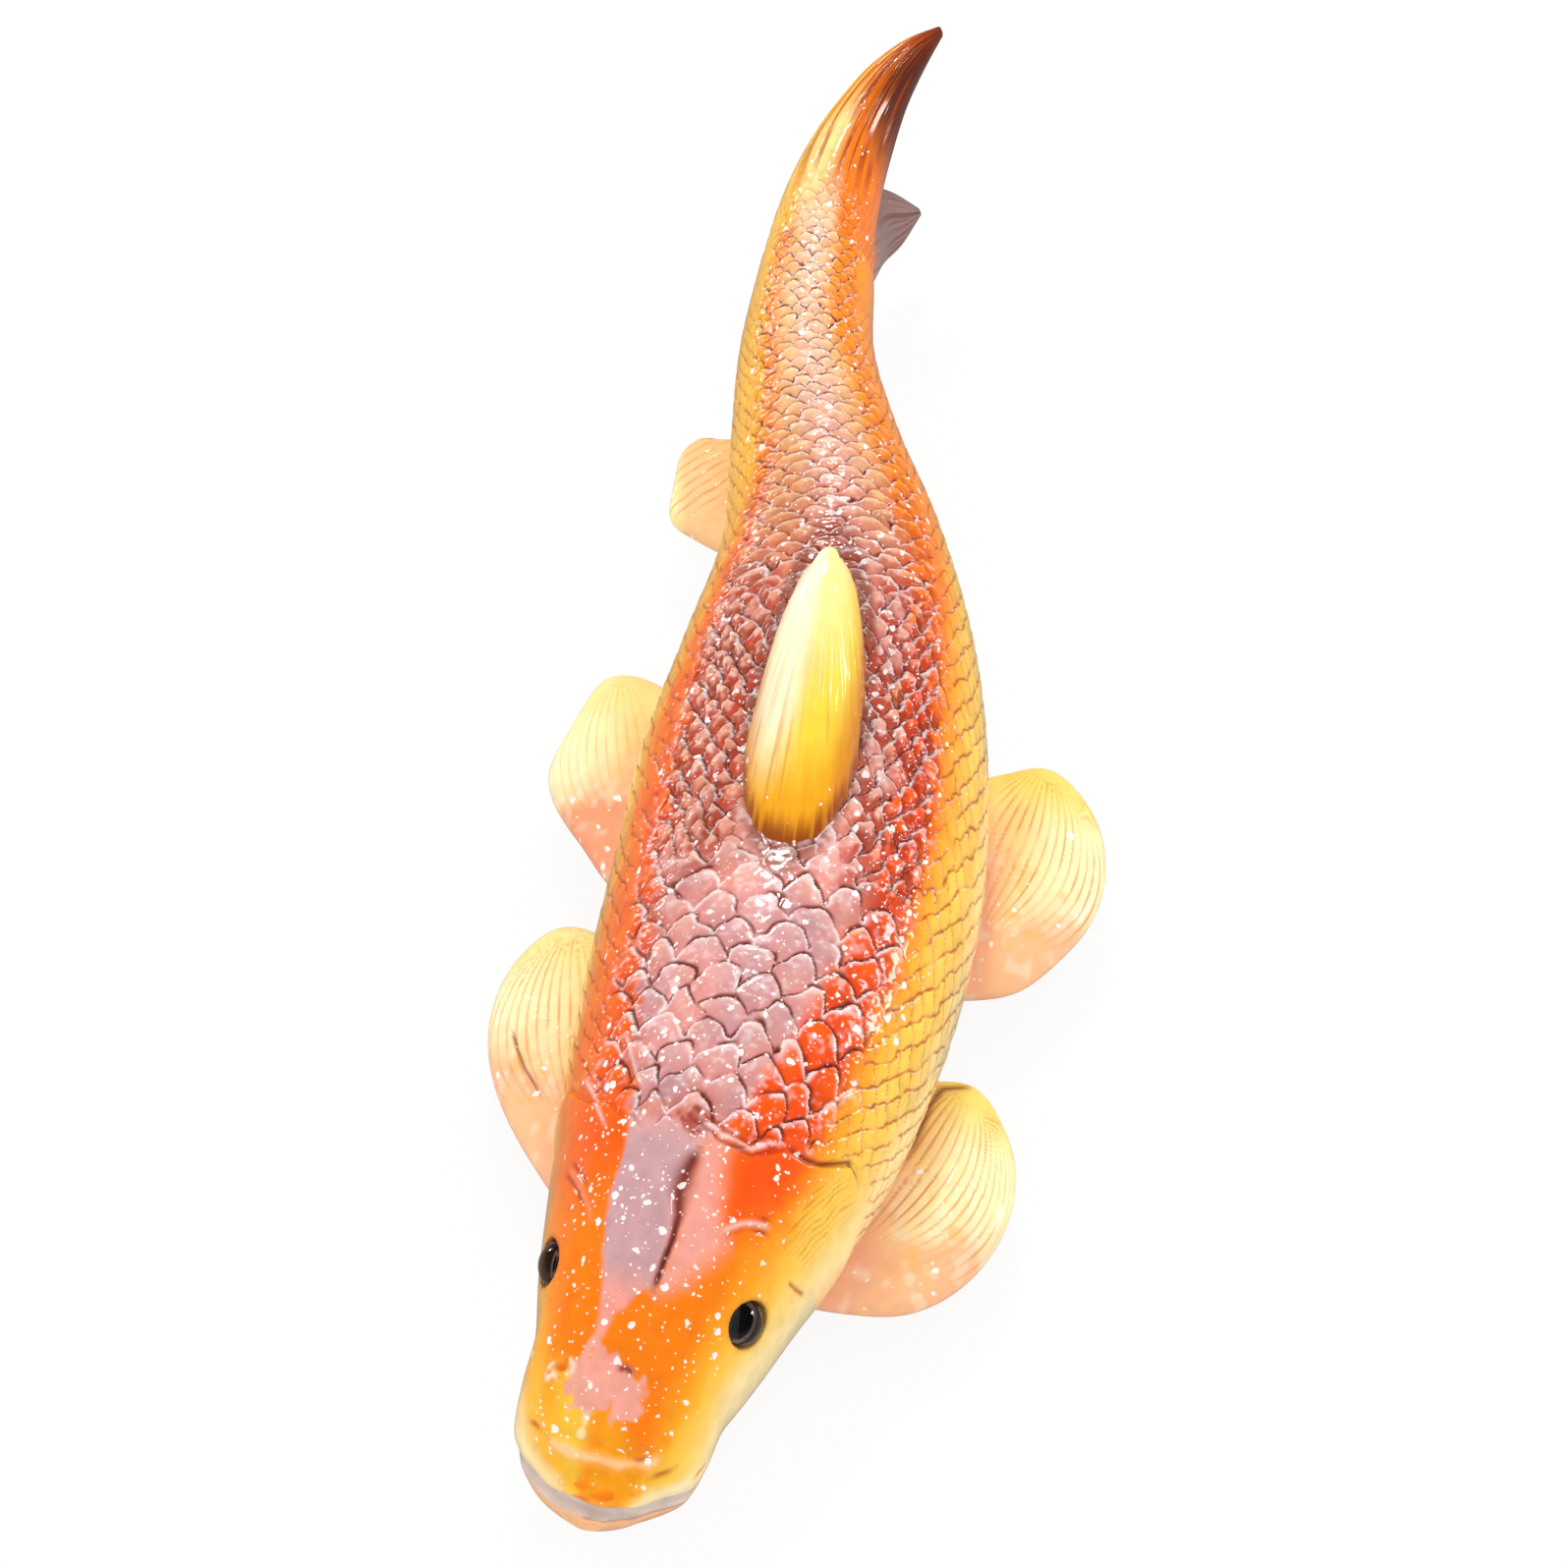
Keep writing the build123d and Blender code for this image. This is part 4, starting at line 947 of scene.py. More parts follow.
def skin_relief(points, along, turn, radius, places, sizes, paints):
    """Height of the skin over the smooth body, its paint and how many specks it carries."""
    marks = SkinMarks(along, turn, radius, skin_paint(along, turn, paints))
    aside = marks.aside
    gill = (along - track(aside, GILL_TRACK)) * BODY_LENGTH
    level = points[..., 2]
    # Head: red behind the left brow, the crown's two halves and the snout's patch. The crown's mauve and
    # pink and the snout's rose patch are partly paint, partly a painted reflection of an overhead light.
    marks.coat(paints.vermilion, marks.zone(HEAD_RED, 3.6 * MM, 0.5 * MM))
    tip = paints.rose * (1.0, 0.86, 0.84)
    crown = blend(np.broadcast_to(paints.mauve_and_reflection, marks.paint.shape), tip,
                  ramp(-0.462, -0.492, along) + 0.35 * ramp(-0.39, -0.37, along))
    crown = crown * (1 + 0.05 * mottle(along * 90, turn / 6, 15))[..., None]
    crown_cover = marks.zone(CROWN_ZONE, 0.5 * MM, 0.25 * MM)
    marks.coat(crown, crown_cover * ramp(-0.355, -0.372, along))
    pink_cover = marks.zone(CROWN_PINK, 2.0 * MM, 0.3 * MM, 18)
    marks.coat(paints.rose * (0.98, 0.92, 0.95), pink_cover * 0.95)
    patch = marks.zone(SNOUT_ZONE, 0.4 * MM, 0.9 * MM, 19)
    blush = blend(np.broadcast_to(paints.rose * (1.0, 0.96, 0.96), marks.paint.shape),
                  paints.cream, ramp(-0.546, -0.556, along) * ramp(0, -8, turn))
    marks.coat(blush, patch * 0.95)
    grit = scale_marks(marks, level, gill, places, sizes, paints)
    gill_marks(marks, level, gill, paints)
    crown_marks(marks, grit, sizes, paints)
    nostril_marks(marks, paints)
    mouth_marks(marks, points, sizes, paints)
    eye_marks(marks, points, paints)
    # Silhouette of the snout: a waist behind the lips and less lip at the left corner
    marks.height -= 0.45 * MM * bell(along + 0.500, 0.022) * ramp(60, 80, aside)
    marks.height -= 1.0 * MM * ramp(62, 84, turn) * ramp(179, 120, turn) * bell(along + 0.572, 0.016)
    specks = track(along, [(-0.57, 0.25), (-0.545, 0.85), (-0.50, 0.55), (-0.44, 0.75),
                           (-0.37, 1), (-0.25, 0.85), (-0.10, 0.7), (0.10, 0.6), (0.30, 0.55),
                           (0.50, 0.4), (0.60, 0.2)])
    specks = specks * ramp(66, 36, aside) * ramp(-0.7, 0.2, mottle(along * 45, turn / 12, 31) + 0.3)
    specks = np.clip(specks + 0.5 * (crown_cover + pink_cover) * ramp(-0.355, -0.372, along), 0, 1)
    return marks.height, marks.paint, specks


def eye_frame(side_name):
    """Middle of an eye on the skin and its outward axis, from its disc and its glass."""
    glass, iris = (np.array([list(corner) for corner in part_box(side_name + part)])
                   for part in ("_eye_glass", "_eye_iris"))
    axis = glass.mean(axis=0) - iris.mean(axis=0)
    axis = axis / np.linalg.norm(axis)
    return iris.mean(axis=0) + axis * 1.9 * MM, axis


def node_tree(name):
    """A new material's nodes, with only its output."""
    material = bpy.data.materials.new(name)
    material.use_nodes = True
    tree = material.node_tree
    tree.nodes.clear()
    return material, tree


def add_node(tree, kind, sockets=(), **settings):
    """Adds a node; sockets is a list of (name or number, value or output to link)."""
    node = tree.nodes.new(kind)
    for key, value in settings.items():
        setattr(node, key, value)
    for key, value in sockets:
        if isinstance(value, bpy.types.NodeSocket):
            tree.links.new(value, node.inputs[key])
        else:
            node.inputs[key].default_value = value
    return node


def surface(tree, shader):
    """Links a shader to the material's output."""
    add_node(tree, "ShaderNodeOutputMaterial", [("Surface", shader.outputs[0])])


def mix_colours(tree, cover, under, over):
    """Colour mix whose sockets are set by number: 0 factor, 6 and 7 the two colours."""
    return add_node(tree, "ShaderNodeMix", [(0, cover), (6, under), (7, over)],
                    data_type="RGBA").outputs[2]


def mix_shaders(tree, cover, under, over):
    """The under shader where cover is 0 and the over shader where it is 1."""
    return add_node(tree, "ShaderNodeMixShader", [(0, cover), (1, under), (2, over)]).outputs[0]


def object_place(tree):
    """Position in the piece's own space."""
    return add_node(tree, "ShaderNodeTexCoord").outputs["Object"]


def noise(tree, place, scale, detail=2.0):
    """A noise texture with a number of features per metre and octaves of detail."""
    return add_node(tree, "ShaderNodeTexNoise", [
        ("Vector", place), ("Scale", scale), ("Detail", detail)])


def map_range(tree, value, low, high, first, last, ease="LINEAR"):
    """Maps a value from low and high to first and last, clamped."""
    return add_node(tree, "ShaderNodeMapRange", [
        ("Value", value), ("From Min", low), ("From Max", high), ("To Min", first),
        ("To Max", last)], interpolation_type=ease).outputs[0]


def math_node(tree, operation, first, second):
    """One step of arithmetic on two values, by the name of its operation."""
    return add_node(tree, "ShaderNodeMath", [(0, first), (1, second)],
                    operation=operation).outputs[0]


def speck_layer(tree, colour, place, amount, spacing, least, most):
    """White specks: one dot in a cell of a Voronoi pattern, where the cell's dice is under
    the amount, with a radius from least to most as shares of the spacing."""
    cells = add_node(tree, "ShaderNodeTexVoronoi", [
        ("Vector", place), ("Scale", 1 / spacing), ("Randomness", 1.0)])
    dice = add_node(tree, "ShaderNodeSeparateColor", [(0, cells.outputs["Color"])])
    chosen = math_node(tree, "LESS_THAN", dice.outputs[0], amount)
    size = map_range(tree, dice.outputs[1], 0, 1, least, most)
    inner = math_node(tree, "SUBTRACT", size, 0.05)
    dot = map_range(tree, cells.outputs["Distance"], size, inner, 0, 0.9, "SMOOTHSTEP")
    cover = math_node(tree, "MULTIPLY", dot, chosen)
    return mix_colours(tree, cover, colour, (1.0, 0.94, 0.90, 1.0))


def painted_material(name, sizes, grain=0.08, coat=0.9):
    """Glossy airbrushed resin: the piece's own paint, mottled by noise, dotted with white
    specks where its speck attribute says, under a clear coat with a fine orange peel."""
    material, tree = node_tree(name)
    place = object_place(tree)
    paint = add_node(tree, "ShaderNodeAttribute", attribute_name="paint").outputs["Color"]
    mist = noise(tree, place, 420.0, 4.0).outputs["Fac"]
    tint = map_range(tree, mist, 0.3, 0.7, 1 - grain, 1 + grain)
    colour = add_node(tree, "ShaderNodeVectorMath", [(0, paint), (1, tint)], operation="MULTIPLY").outputs[0]
    amount = add_node(tree, "ShaderNodeAttribute", attribute_name="specks").outputs["Fac"]
    warp = noise(tree, place, 650.0)
    bent = add_node(tree, "ShaderNodeVectorMath", [
        (0, warp.outputs["Color"]), (1, (0.0013, 0.0013, 0.0013)), (2, place)],
        operation="MULTIPLY_ADD").outputs[0]
    spacing = sizes.speck_spacing
    colour = speck_layer(tree, colour, bent, amount, spacing, 0.12, 0.30)
    colour = speck_layer(tree, colour, bent, amount, 0.42 * spacing, 0.12, 0.27)
    rough = map_range(tree, mist, 0.3, 0.7, 0.36, 0.5)
    peel = noise(tree, place, 900.0)
    bump = add_node(tree, "ShaderNodeBump", [
        ("Strength", 0.35), ("Distance", 0.00012), ("Height", peel.outputs["Fac"])])
    shader = add_node(tree, "ShaderNodeBsdfPrincipled", [
        ("Base Color", colour), ("Roughness", rough), ("Normal", bump.outputs[0]),
        ("Specular IOR Level", 0.1), ("Coat Weight", coat), ("Coat Roughness", 0.09),
        ("Coat IOR", 1.5)])
    surface(tree, shader)
    return material


def node_material(name, base, accent, scale, roughness, strength, metallic=0.0, coat=0.0):
    """A plain finish broken by noise: two tones, uneven roughness and a fine bump."""
    material, tree = node_tree(name)
    grain = noise(tree, object_place(tree), scale, 6.0).outputs["Fac"]
    colour = mix_colours(tree, grain, (*base, 1), (*accent, 1))
    rough = map_range(tree, grain, 0, 1, roughness - 0.1, roughness + 0.1)
    bump = add_node(tree, "ShaderNodeBump", [
        ("Strength", strength), ("Distance", 0.0003), ("Height", grain)])
    shader = add_node(tree, "ShaderNodeBsdfPrincipled", [
        ("Base Color", colour), ("Roughness", rough), ("Normal", bump.outputs[0]),
        ("Metallic", metallic), ("Coat Weight", coat), ("Coat Roughness", 0.12)])
    surface(tree, shader)
    return material


def dress_node(node, material):
    """Gives a CAD node that stays in view its material."""
    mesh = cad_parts[node].data
    mesh.materials.clear()
    mesh.materials.append(material)


class KOI_OT_skin(bpy.types.Operator):
    """Body and head skin with scales, gill covers, lips and eye sockets"""
    bl_idname = "koi.skin"
    bl_label = "Skin"

    def execute(self, context):
        sizes, paints = panel_values(context)
        material = painted_material("koi_skin", sizes)
        parts = [even_places(BODY_SPINE, first * BODY_LENGTH, last * BODY_LENGTH, count)
                 for _, first, last, count in SKIN_PARTS]
        places = np.concatenate([parts[0]] + [part[1:] for part in parts[1:]])
        values = spine_at(BODY_SPINE, places)
        turn = column_turns(SKIN_COLUMNS)[None, :]
        points = ring_points(places, values, turn)
        # Snout: rings that shrink towards a pole a little ahead of the first station
        size = np.linspace(0, 1, SNOUT_RINGS + 2)[1:-1, None, None]
        middle = points[0].mean(axis=0)
        ahead = np.array([-math.sin(math.radians(12)), -math.cos(math.radians(12)), 0])
        rings = middle + (points[0] - middle) * size + ahead * 0.20 * MM * (1 - size ** 2)
        points = np.concatenate([rings, points])
        along = np.concatenate([np.full(SNOUT_RINGS, places[0]), places])[:, None] / BODY_LENGTH
        values = np.concatenate([np.repeat(values[:1], SNOUT_RINGS, axis=0), values])
        points[..., 2] = np.maximum(points[..., 2], PARTING_HEIGHT)
        normals = grid_normals(points)
        radius = (values[:, 2, None] + values[:, 3, None] - values[:, 4, None]) / 2
        degrees = np.broadcast_to(np.degrees(turn), points.shape[:2])
        along_all = np.broadcast_to(along, points.shape[:2])
        height, paint, specks = skin_relief(points, along_all, degrees, radius,
                                            along * BODY_LENGTH, sizes, paints)
        fade = ramp(PARTING_HEIGHT, PARTING_HEIGHT + 1.5 * MM, points[..., 2])
        fade[:SNOUT_RINGS] *= ramp(0, 0.8, size[..., 0])
        points = points + normals * (height * fade)[..., None]
        normals = grid_normals(points)
        first = 0
        nose = middle + ahead * 0.20 * MM
        for number, ((name, _, _, _), part) in enumerate(zip(SKIN_PARTS, parts)):
            last = first + len(part) + (SNOUT_RINGS if number == 0 else 0)
            span = slice(first, last)
            start = nose if number == 0 else points[first].mean(axis=0)
            make_piece(name, points[span], (start, points[last - 1].mean(axis=0)), material,
                       "back_shell", paint[span], specks[span], normals[span])
            first = last - 1
        return {"FINISHED"}


def lobe_paint(upper, paints, degrees, streak, far):
    """Paint of a tail lobe: amber and yellow to the right, a pale centre and glow, and dark streaks towards
    the tip of the upper lobe, and on the lower one a grey left side that is painted shadow."""
    paint = np.broadcast_to(paints.orange * (1, 0.95, 1), degrees.shape + (3,))
    if upper:
        paint = blend(paint, paints.amber * (1, 0.98, 1.1), ramp(14, -22, degrees))
        paint = blend(paint, paints.yellow, 0.7 * ramp(-28, -60, degrees))
        centre = paints.peach * 0.50 + paints.cream * 0.35 + 0.10
        paint = blend(paint, centre, ramp(30, 14, np.abs(degrees + 4)) * ramp(0.42, 0.0, far))
        glow = bell(degrees + 16 - 24 * (far - 0.2), 13) * ramp(0.06, 0.24, far)
        glow = glow * ramp(0.75, 0.5, far)
        paint = blend(paint, paints.cream * (1, 0.98, 0.75), 0.9 * glow)
        dusk = ramp(0.42, 0.80, far) * ramp(-46, -8, degrees + 14 * streak)
        paint = blend(paint, paints.orange * (0.58, 0.45, 0.8), 0.9 * dusk)
        dusk = ramp(14, 46, degrees + 24 * streak + 34 * (far - 0.5))
        dusk = ramp(0.30, 0.70, far) * dusk
        paint = blend(paint, paints.umber * (0.5, 0.4, 0.2), 0.93 * dusk)
        dark = ramp(0.15, 0.75, streak) * ramp(0.16, 0.42, far) * ramp(-62, -30, degrees)
        paint = blend(paint, paints.orange * (0.38, 0.22, 0.3), 0.75 * dark)
        light = ramp(0.25, 0.8, -streak) * ramp(0.10, 0.4, far) * ramp(10, -30, degrees)
        paint = blend(paint, paints.cream * (1, 0.98, 0.8), 0.6 * light)
        paint = blend(paint, paints.rose * 0.8 + 0.15,
                      0.85 * ramp(0.35, 0.6, far) * bell(degrees + 78, 9))
        paint = blend(paint, paints.umber * 1.3, 0.75 * ramp(0.90, 0.99, far))
    else:
        # Painted shadow: slate grey towards the tip and on the fish's left side, with lighter and darker
        # streaks in it
        grey = ramp(0.05, 0.45, far + 0.10 * streak) * ramp(-60, 10, degrees)
        paint = blend(paint, paints.slate_shadow, 0.92 * grey)
        paint = blend(paint, paints.slate_shadow * 1.5, 0.6 * grey * ramp(0.1, 0.7, -streak))
        paint = blend(paint, paints.umber * 1.2, 0.6 * grey * ramp(0.1, 0.8, streak))
    return paint


class KOI_OT_tail(bpy.types.Operator):
    """Both lobes of the tail fin, scaled at the root and streaked behind it"""
    bl_idname = "koi.tail"
    bl_label = "Tail fin"

    def execute(self, context):
        sizes, paints = panel_values(context)
        material = painted_material("koi_tail", sizes, grain=0.10)
        for name, spine, count in (("tail_upper_lobe", UPPER_SPINE, 230),
                                   ("tail_lower_lobe", LOWER_SPINE, 160)):
            upper = spine is UPPER_SPINE
            root = BODY_SPINE[-1, 0]
            places = even_places(spine, root, spine[-1, 0], count)
            values = spine_at(spine, places)
            if not upper:
                inset = 1.2 * MM * (1 - ramp(0, 0.35, (places - root) / TAIL_LENGTH))
                values[:, 2] -= inset
                values[:, 3] -= inset
                values[:, 5] += inset
            turn = column_turns(TAIL_COLUMNS)[None, :]
            points = ring_points(places, values, turn)
            normals = grid_normals(points)
            along = np.broadcast_to(places[:, None] / BODY_LENGTH, points.shape[:2])
            degrees = np.broadcast_to(np.degrees(turn), points.shape[:2])
            (lift, rim, crevice, _), _ = scale_pattern(places[:, None], degrees, sizes.scales_round)
            scaled = 1 - ramp(0.500, 0.545, along + 0.012 * np.abs(np.sin(turn)))
            far = (along - 0.47) / 0.193
            drift = degrees + 5 * mottle(along * 16, degrees / 40, 41)
            streak = mottle(along * 15, drift / 4.2, 43) + 0.5 * mottle(along * 26, drift / 2.0, 44)
            rayed = ramp(0.495, 0.56, along) * (1 - 0.5 * ramp(0.62, 0.66, along))
            height = 0.42 * scaled * sizes.scale_lift * (lift - 0.75)
            height -= 0.42 * scaled * sizes.crevice_depth * crevice ** 6
            height -= rayed * sizes.ray_depth * ramp(0.1, 0.9, streak)
            height -= 0.10 * MM
            points = points + normals * (height * ramp(1.02, 0.9, far))[..., None]
            paint = lobe_paint(upper, paints, degrees, streak, far)
            paint = blend(paint, paints.umber * 1.8, 0.55 * scaled * crevice ** 6)
            # Painted highlight: pale rims on the scales at the root of the lobe
            paint = blend(paint, paints.cream * 0.8 + 0.18, 0.35 * scaled * rim)
            specks = 0.6 * ramp(0.60, 0.48, along) * ramp(80, 30, np.abs(degrees))
            ends = (points[0].mean(axis=0), points[-1].mean(axis=0))
            make_piece(name, points, ends, material, "tail_fin", paint, specks)
        return {"FINISHED"}


class KOI_OT_dorsal(bpy.types.Operator):
    """Thick leaf of the dorsal fin"""
    bl_idname = "koi.dorsal"
    bl_label = "Dorsal fin"

    def execute(self, context):
        sizes, paints = panel_values(context)
        x, heading, _, ridge, _, _ = station_at(DORSAL_SHARE)
        across, back = heading_axes(heading + DORSAL_TURN)
        levels = np.linspace(DORSAL_LEVEL_SHARES[0, 0], 0.94, 150)
        rows = curve_through(DORSAL_LEVEL_SHARES[:, 0], DORSAL_LEVEL_SHARES[:, 1:], levels)
        # Tip: level rings that shrink as a quarter ellipse up to the top
        rise = np.linspace(0, 1, 26)[1:-1]
        tip = np.repeat(rows[-1:], len(rise), axis=0)
        shrink = np.sqrt(1 - rise ** 2)
        tip[:, 1:] *= shrink[:, None]
        tip[:, 0] += 0.045 * rise
        rows = np.concatenate([rows, tip])
        levels = np.concatenate([levels, 0.94 + 0.06 * rise])
        turn = np.linspace(0, 2 * np.pi, 320, endpoint=False)[None, :]
        widest, front, rear, width = (rows[:, i, None] for i in range(4))
        reach = np.where(np.sin(turn) > 0, rear, front) * DORSAL_LENGTH
        along = (widest - DORSAL_LEVEL_SHARES[0, 1]) * DORSAL_LENGTH + reach * np.sin(turn)
        side = width * DORSAL_WIDTH / 2 * np.cos(turn)
        level = levels[:, None] + np.zeros_like(turn)
        root = np.array([x, DORSAL_SHARE * BODY_LENGTH, 0])
        points = root + side[..., None] * across + along[..., None] * back
        points[..., 2] = ridge + level * DORSAL_RISE
        normals = -grid_normals(points)
        streak = mottle(level * 2.5, turn * 34 / np.pi, 51) + 0.7 * mottle(level * 4, turn * 80 / np.pi, 52)
        height = -0.16 * MM * ramp(0.0, 1.0, streak) * ramp(1.0, 0.7, level)
        points = points + normals * height[..., None]
        golden = paints.amber * (0.92, 0.92, 0.5)
        # Partly paint, partly painted light: dark golden at the root through lemon to ivory at the top, and
        # paler on the fish's right side
        paint = np.broadcast_to(golden * (0.62, 0.42, 0.6), points.shape)
        rise_and_painted_light = level + 0.05 * streak - 0.07 * np.cos(turn)
        paint = blend(paint, golden, ramp(-0.10, 0.16, rise_and_painted_light))
        paint = blend(paint, paints.lemon, ramp(0.12, 0.52, rise_and_painted_light))
        paint = blend(paint, paints.ivory * (1, 0.98, 0.70), 0.9 * ramp(0.52, 0.95, rise_and_painted_light))
        # Painted highlight: near-white on the upper part of the fin's side towards the fish's right
        white = ramp(0.3, 0.75, level - 0.35 * np.cos(turn)) * ramp(0.2, -0.5, np.cos(turn))
        paint = blend(paint, paints.ivory * 0.6 + 0.4, 0.8 * white)
        # Painted shade: darker golden down both sides of the fin, more on the fish's left, fading towards
        # the top
        painted_side_shade = ramp(0.62, 0.98, np.abs(np.cos(turn))) * np.where(np.cos(turn) > 0, 1, 0.75)
        paint = blend(paint, golden * (0.75, 0.55, 0.8), 0.75 * painted_side_shade * ramp(0.75, 0.15, level))
        # Painted shade: dark brown at the root, where the fin meets the back
        paint = blend(paint, paints.garnet * 0.6 + paints.amber * 0.1,
                      0.9 * ramp(0.17, 0.0, level + 0.03 * streak))
        paint = blend(paint, golden * (0.8, 0.66, 0.6), 0.6 * ramp(0.15, 0.9, streak)
                      * ramp(0.95, 0.3, level))
        specks = 0.12 * ramp(0.5, 0.1, level)
        top = points[-1].mean(axis=0)
        top[2] = ridge + DORSAL_RISE
        material = painted_material("koi_dorsal", sizes, grain=0.05, coat=0.7)
        make_piece("dorsal_leaf", points, (points[0].mean(axis=0), top), material,
                   "dorsal_fin", paint, specks)
        return {"FINISHED"}


def fin_frame(place, level, side):
    """Front root of a side fin on the skin, and its outward, backward and upward axes."""
    x, heading, width, top, middle, bottom = station_at(place)
    depth = top - middle if level > middle else middle - bottom
    reach = width * math.sqrt(max(0, 1 - ((level - middle) / depth) ** 2))
    across, back = heading_axes(heading)
    root = np.array([x, place * BODY_LENGTH, level]) + across * reach * side
    droop = math.radians(FIN_DROOP)
    outward = across * side * math.cos(droop) - np.array([0, 0, math.sin(droop)])
    return root, outward, back, np.cross(outward, back) * side


# Creases across the side fins: half width in millimetres, then places out and back
FIN_CREASES = {
    "left_pectoral_fin": (0.75, [
        (0.44, 0.915), (0.23, 0.85), (0.19, 0.76), (0.18, 0.67), (0.18, 0.57), (0.15, 0.46)]),
    "right_pectoral_fin": (0.28, [
        (0.80, 0.47), (0.70, 0.39), (0.58, 0.31), (0.46, 0.25), (0.34, 0.18)]),
}
# Salmon front of each side fin: how far back it reaches at its root and at its rim, and how
# strong it is
FIN_FRONTS = {
    "left_pectoral_fin": (0.16, 0.30, 0.9), "right_pectoral_fin": (0.26, 0.40, 0.75),
    "left_pelvic_fin": (0.14, 0.30, 0.8), "right_pelvic_fin": (0.36, 0.25, 1.0),
    "anal_fin": (0.30, 0.05, 0.3),
}


def fin_paint(name, number, paints, out, rear, ray, groove):
    """Paint of a side fin: cream, ivory towards the rim, yellow at the rear tip, salmon at
    the front, rose at the root, and golden blotches and rays."""
    anal = name.startswith("anal")
    paint = np.broadcast_to(paints.cream, out.shape + (3,))
    paint = blend(paint, paints.ivory, 0.9 * ramp(0.30, 0.75, ray))
    paint = blend(paint, paints.lemon * (1, 1, 1.3), 0.75 * ramp(0.60, 0.85, rear)
                  * (1 if "left" in name else 0.5))
    golden = paints.amber * (1, 1.12, 4)
    paint = blend(paint, golden, 0.5 * ramp(0.45, 0.15, ray) * ramp(0.9, 0.6, rear))
    near, far, cover = FIN_FRONTS[name]
    front = near + (far - near) * np.clip(out, 0, 1) + 0.05 * mottle(out * 4, rear * 4, 80 + number)
    salmon = paints.peach * (1, 1.06, 1.1)
    if name == "right_pelvic_fin":
        salmon = paints.peach * (1, 0.80, 0.85)
    paint = blend(paint, salmon, 0.55 * cover * ramp(front + 0.22, front - 0.05, rear))
    paint = blend(paint, salmon, cover * ramp(front + 0.05, front - 0.06, rear))
    root_rose = ramp(0.34, 0.10, out) * ramp(0.75, 0.35, rear)
    paint = blend(paint, paints.rose * 0.5 + paints.peach * 0.5, 0.75 * root_rose)
    blotch = ramp(0.25, 0.6, mottle(out * 9 + 3, rear * 16, 90 + number))
    blotch = blotch * bell(rear - 0.28, 0.16) * ramp(0.2, 0.35, out) * ramp(0.85, 0.6, out)
    paint = blend(paint, golden, 0.55 * blotch * (name != "right_pelvic_fin"))
    frost = ramp(0.1, 0.7, mottle(out * 14, rear * 22, 95 + number)) * ramp(0.62, 0.3, rear)
    paint = blend(paint, paints.ivory * 0.5 + 0.45, 0.28 * frost)
    if anal:
        paint = blend(paint, paints.peach * (1.02, 1.15, 1.0), 0.75)
        paint = blend(paint, paints.ivory * (1, 0.98, 0.8), 0.85 * ramp(0.75, 1.0, out))
    paint = blend(paint, golden * (0.80, 0.60, 0.9), 0.78 * groove)
    return paint


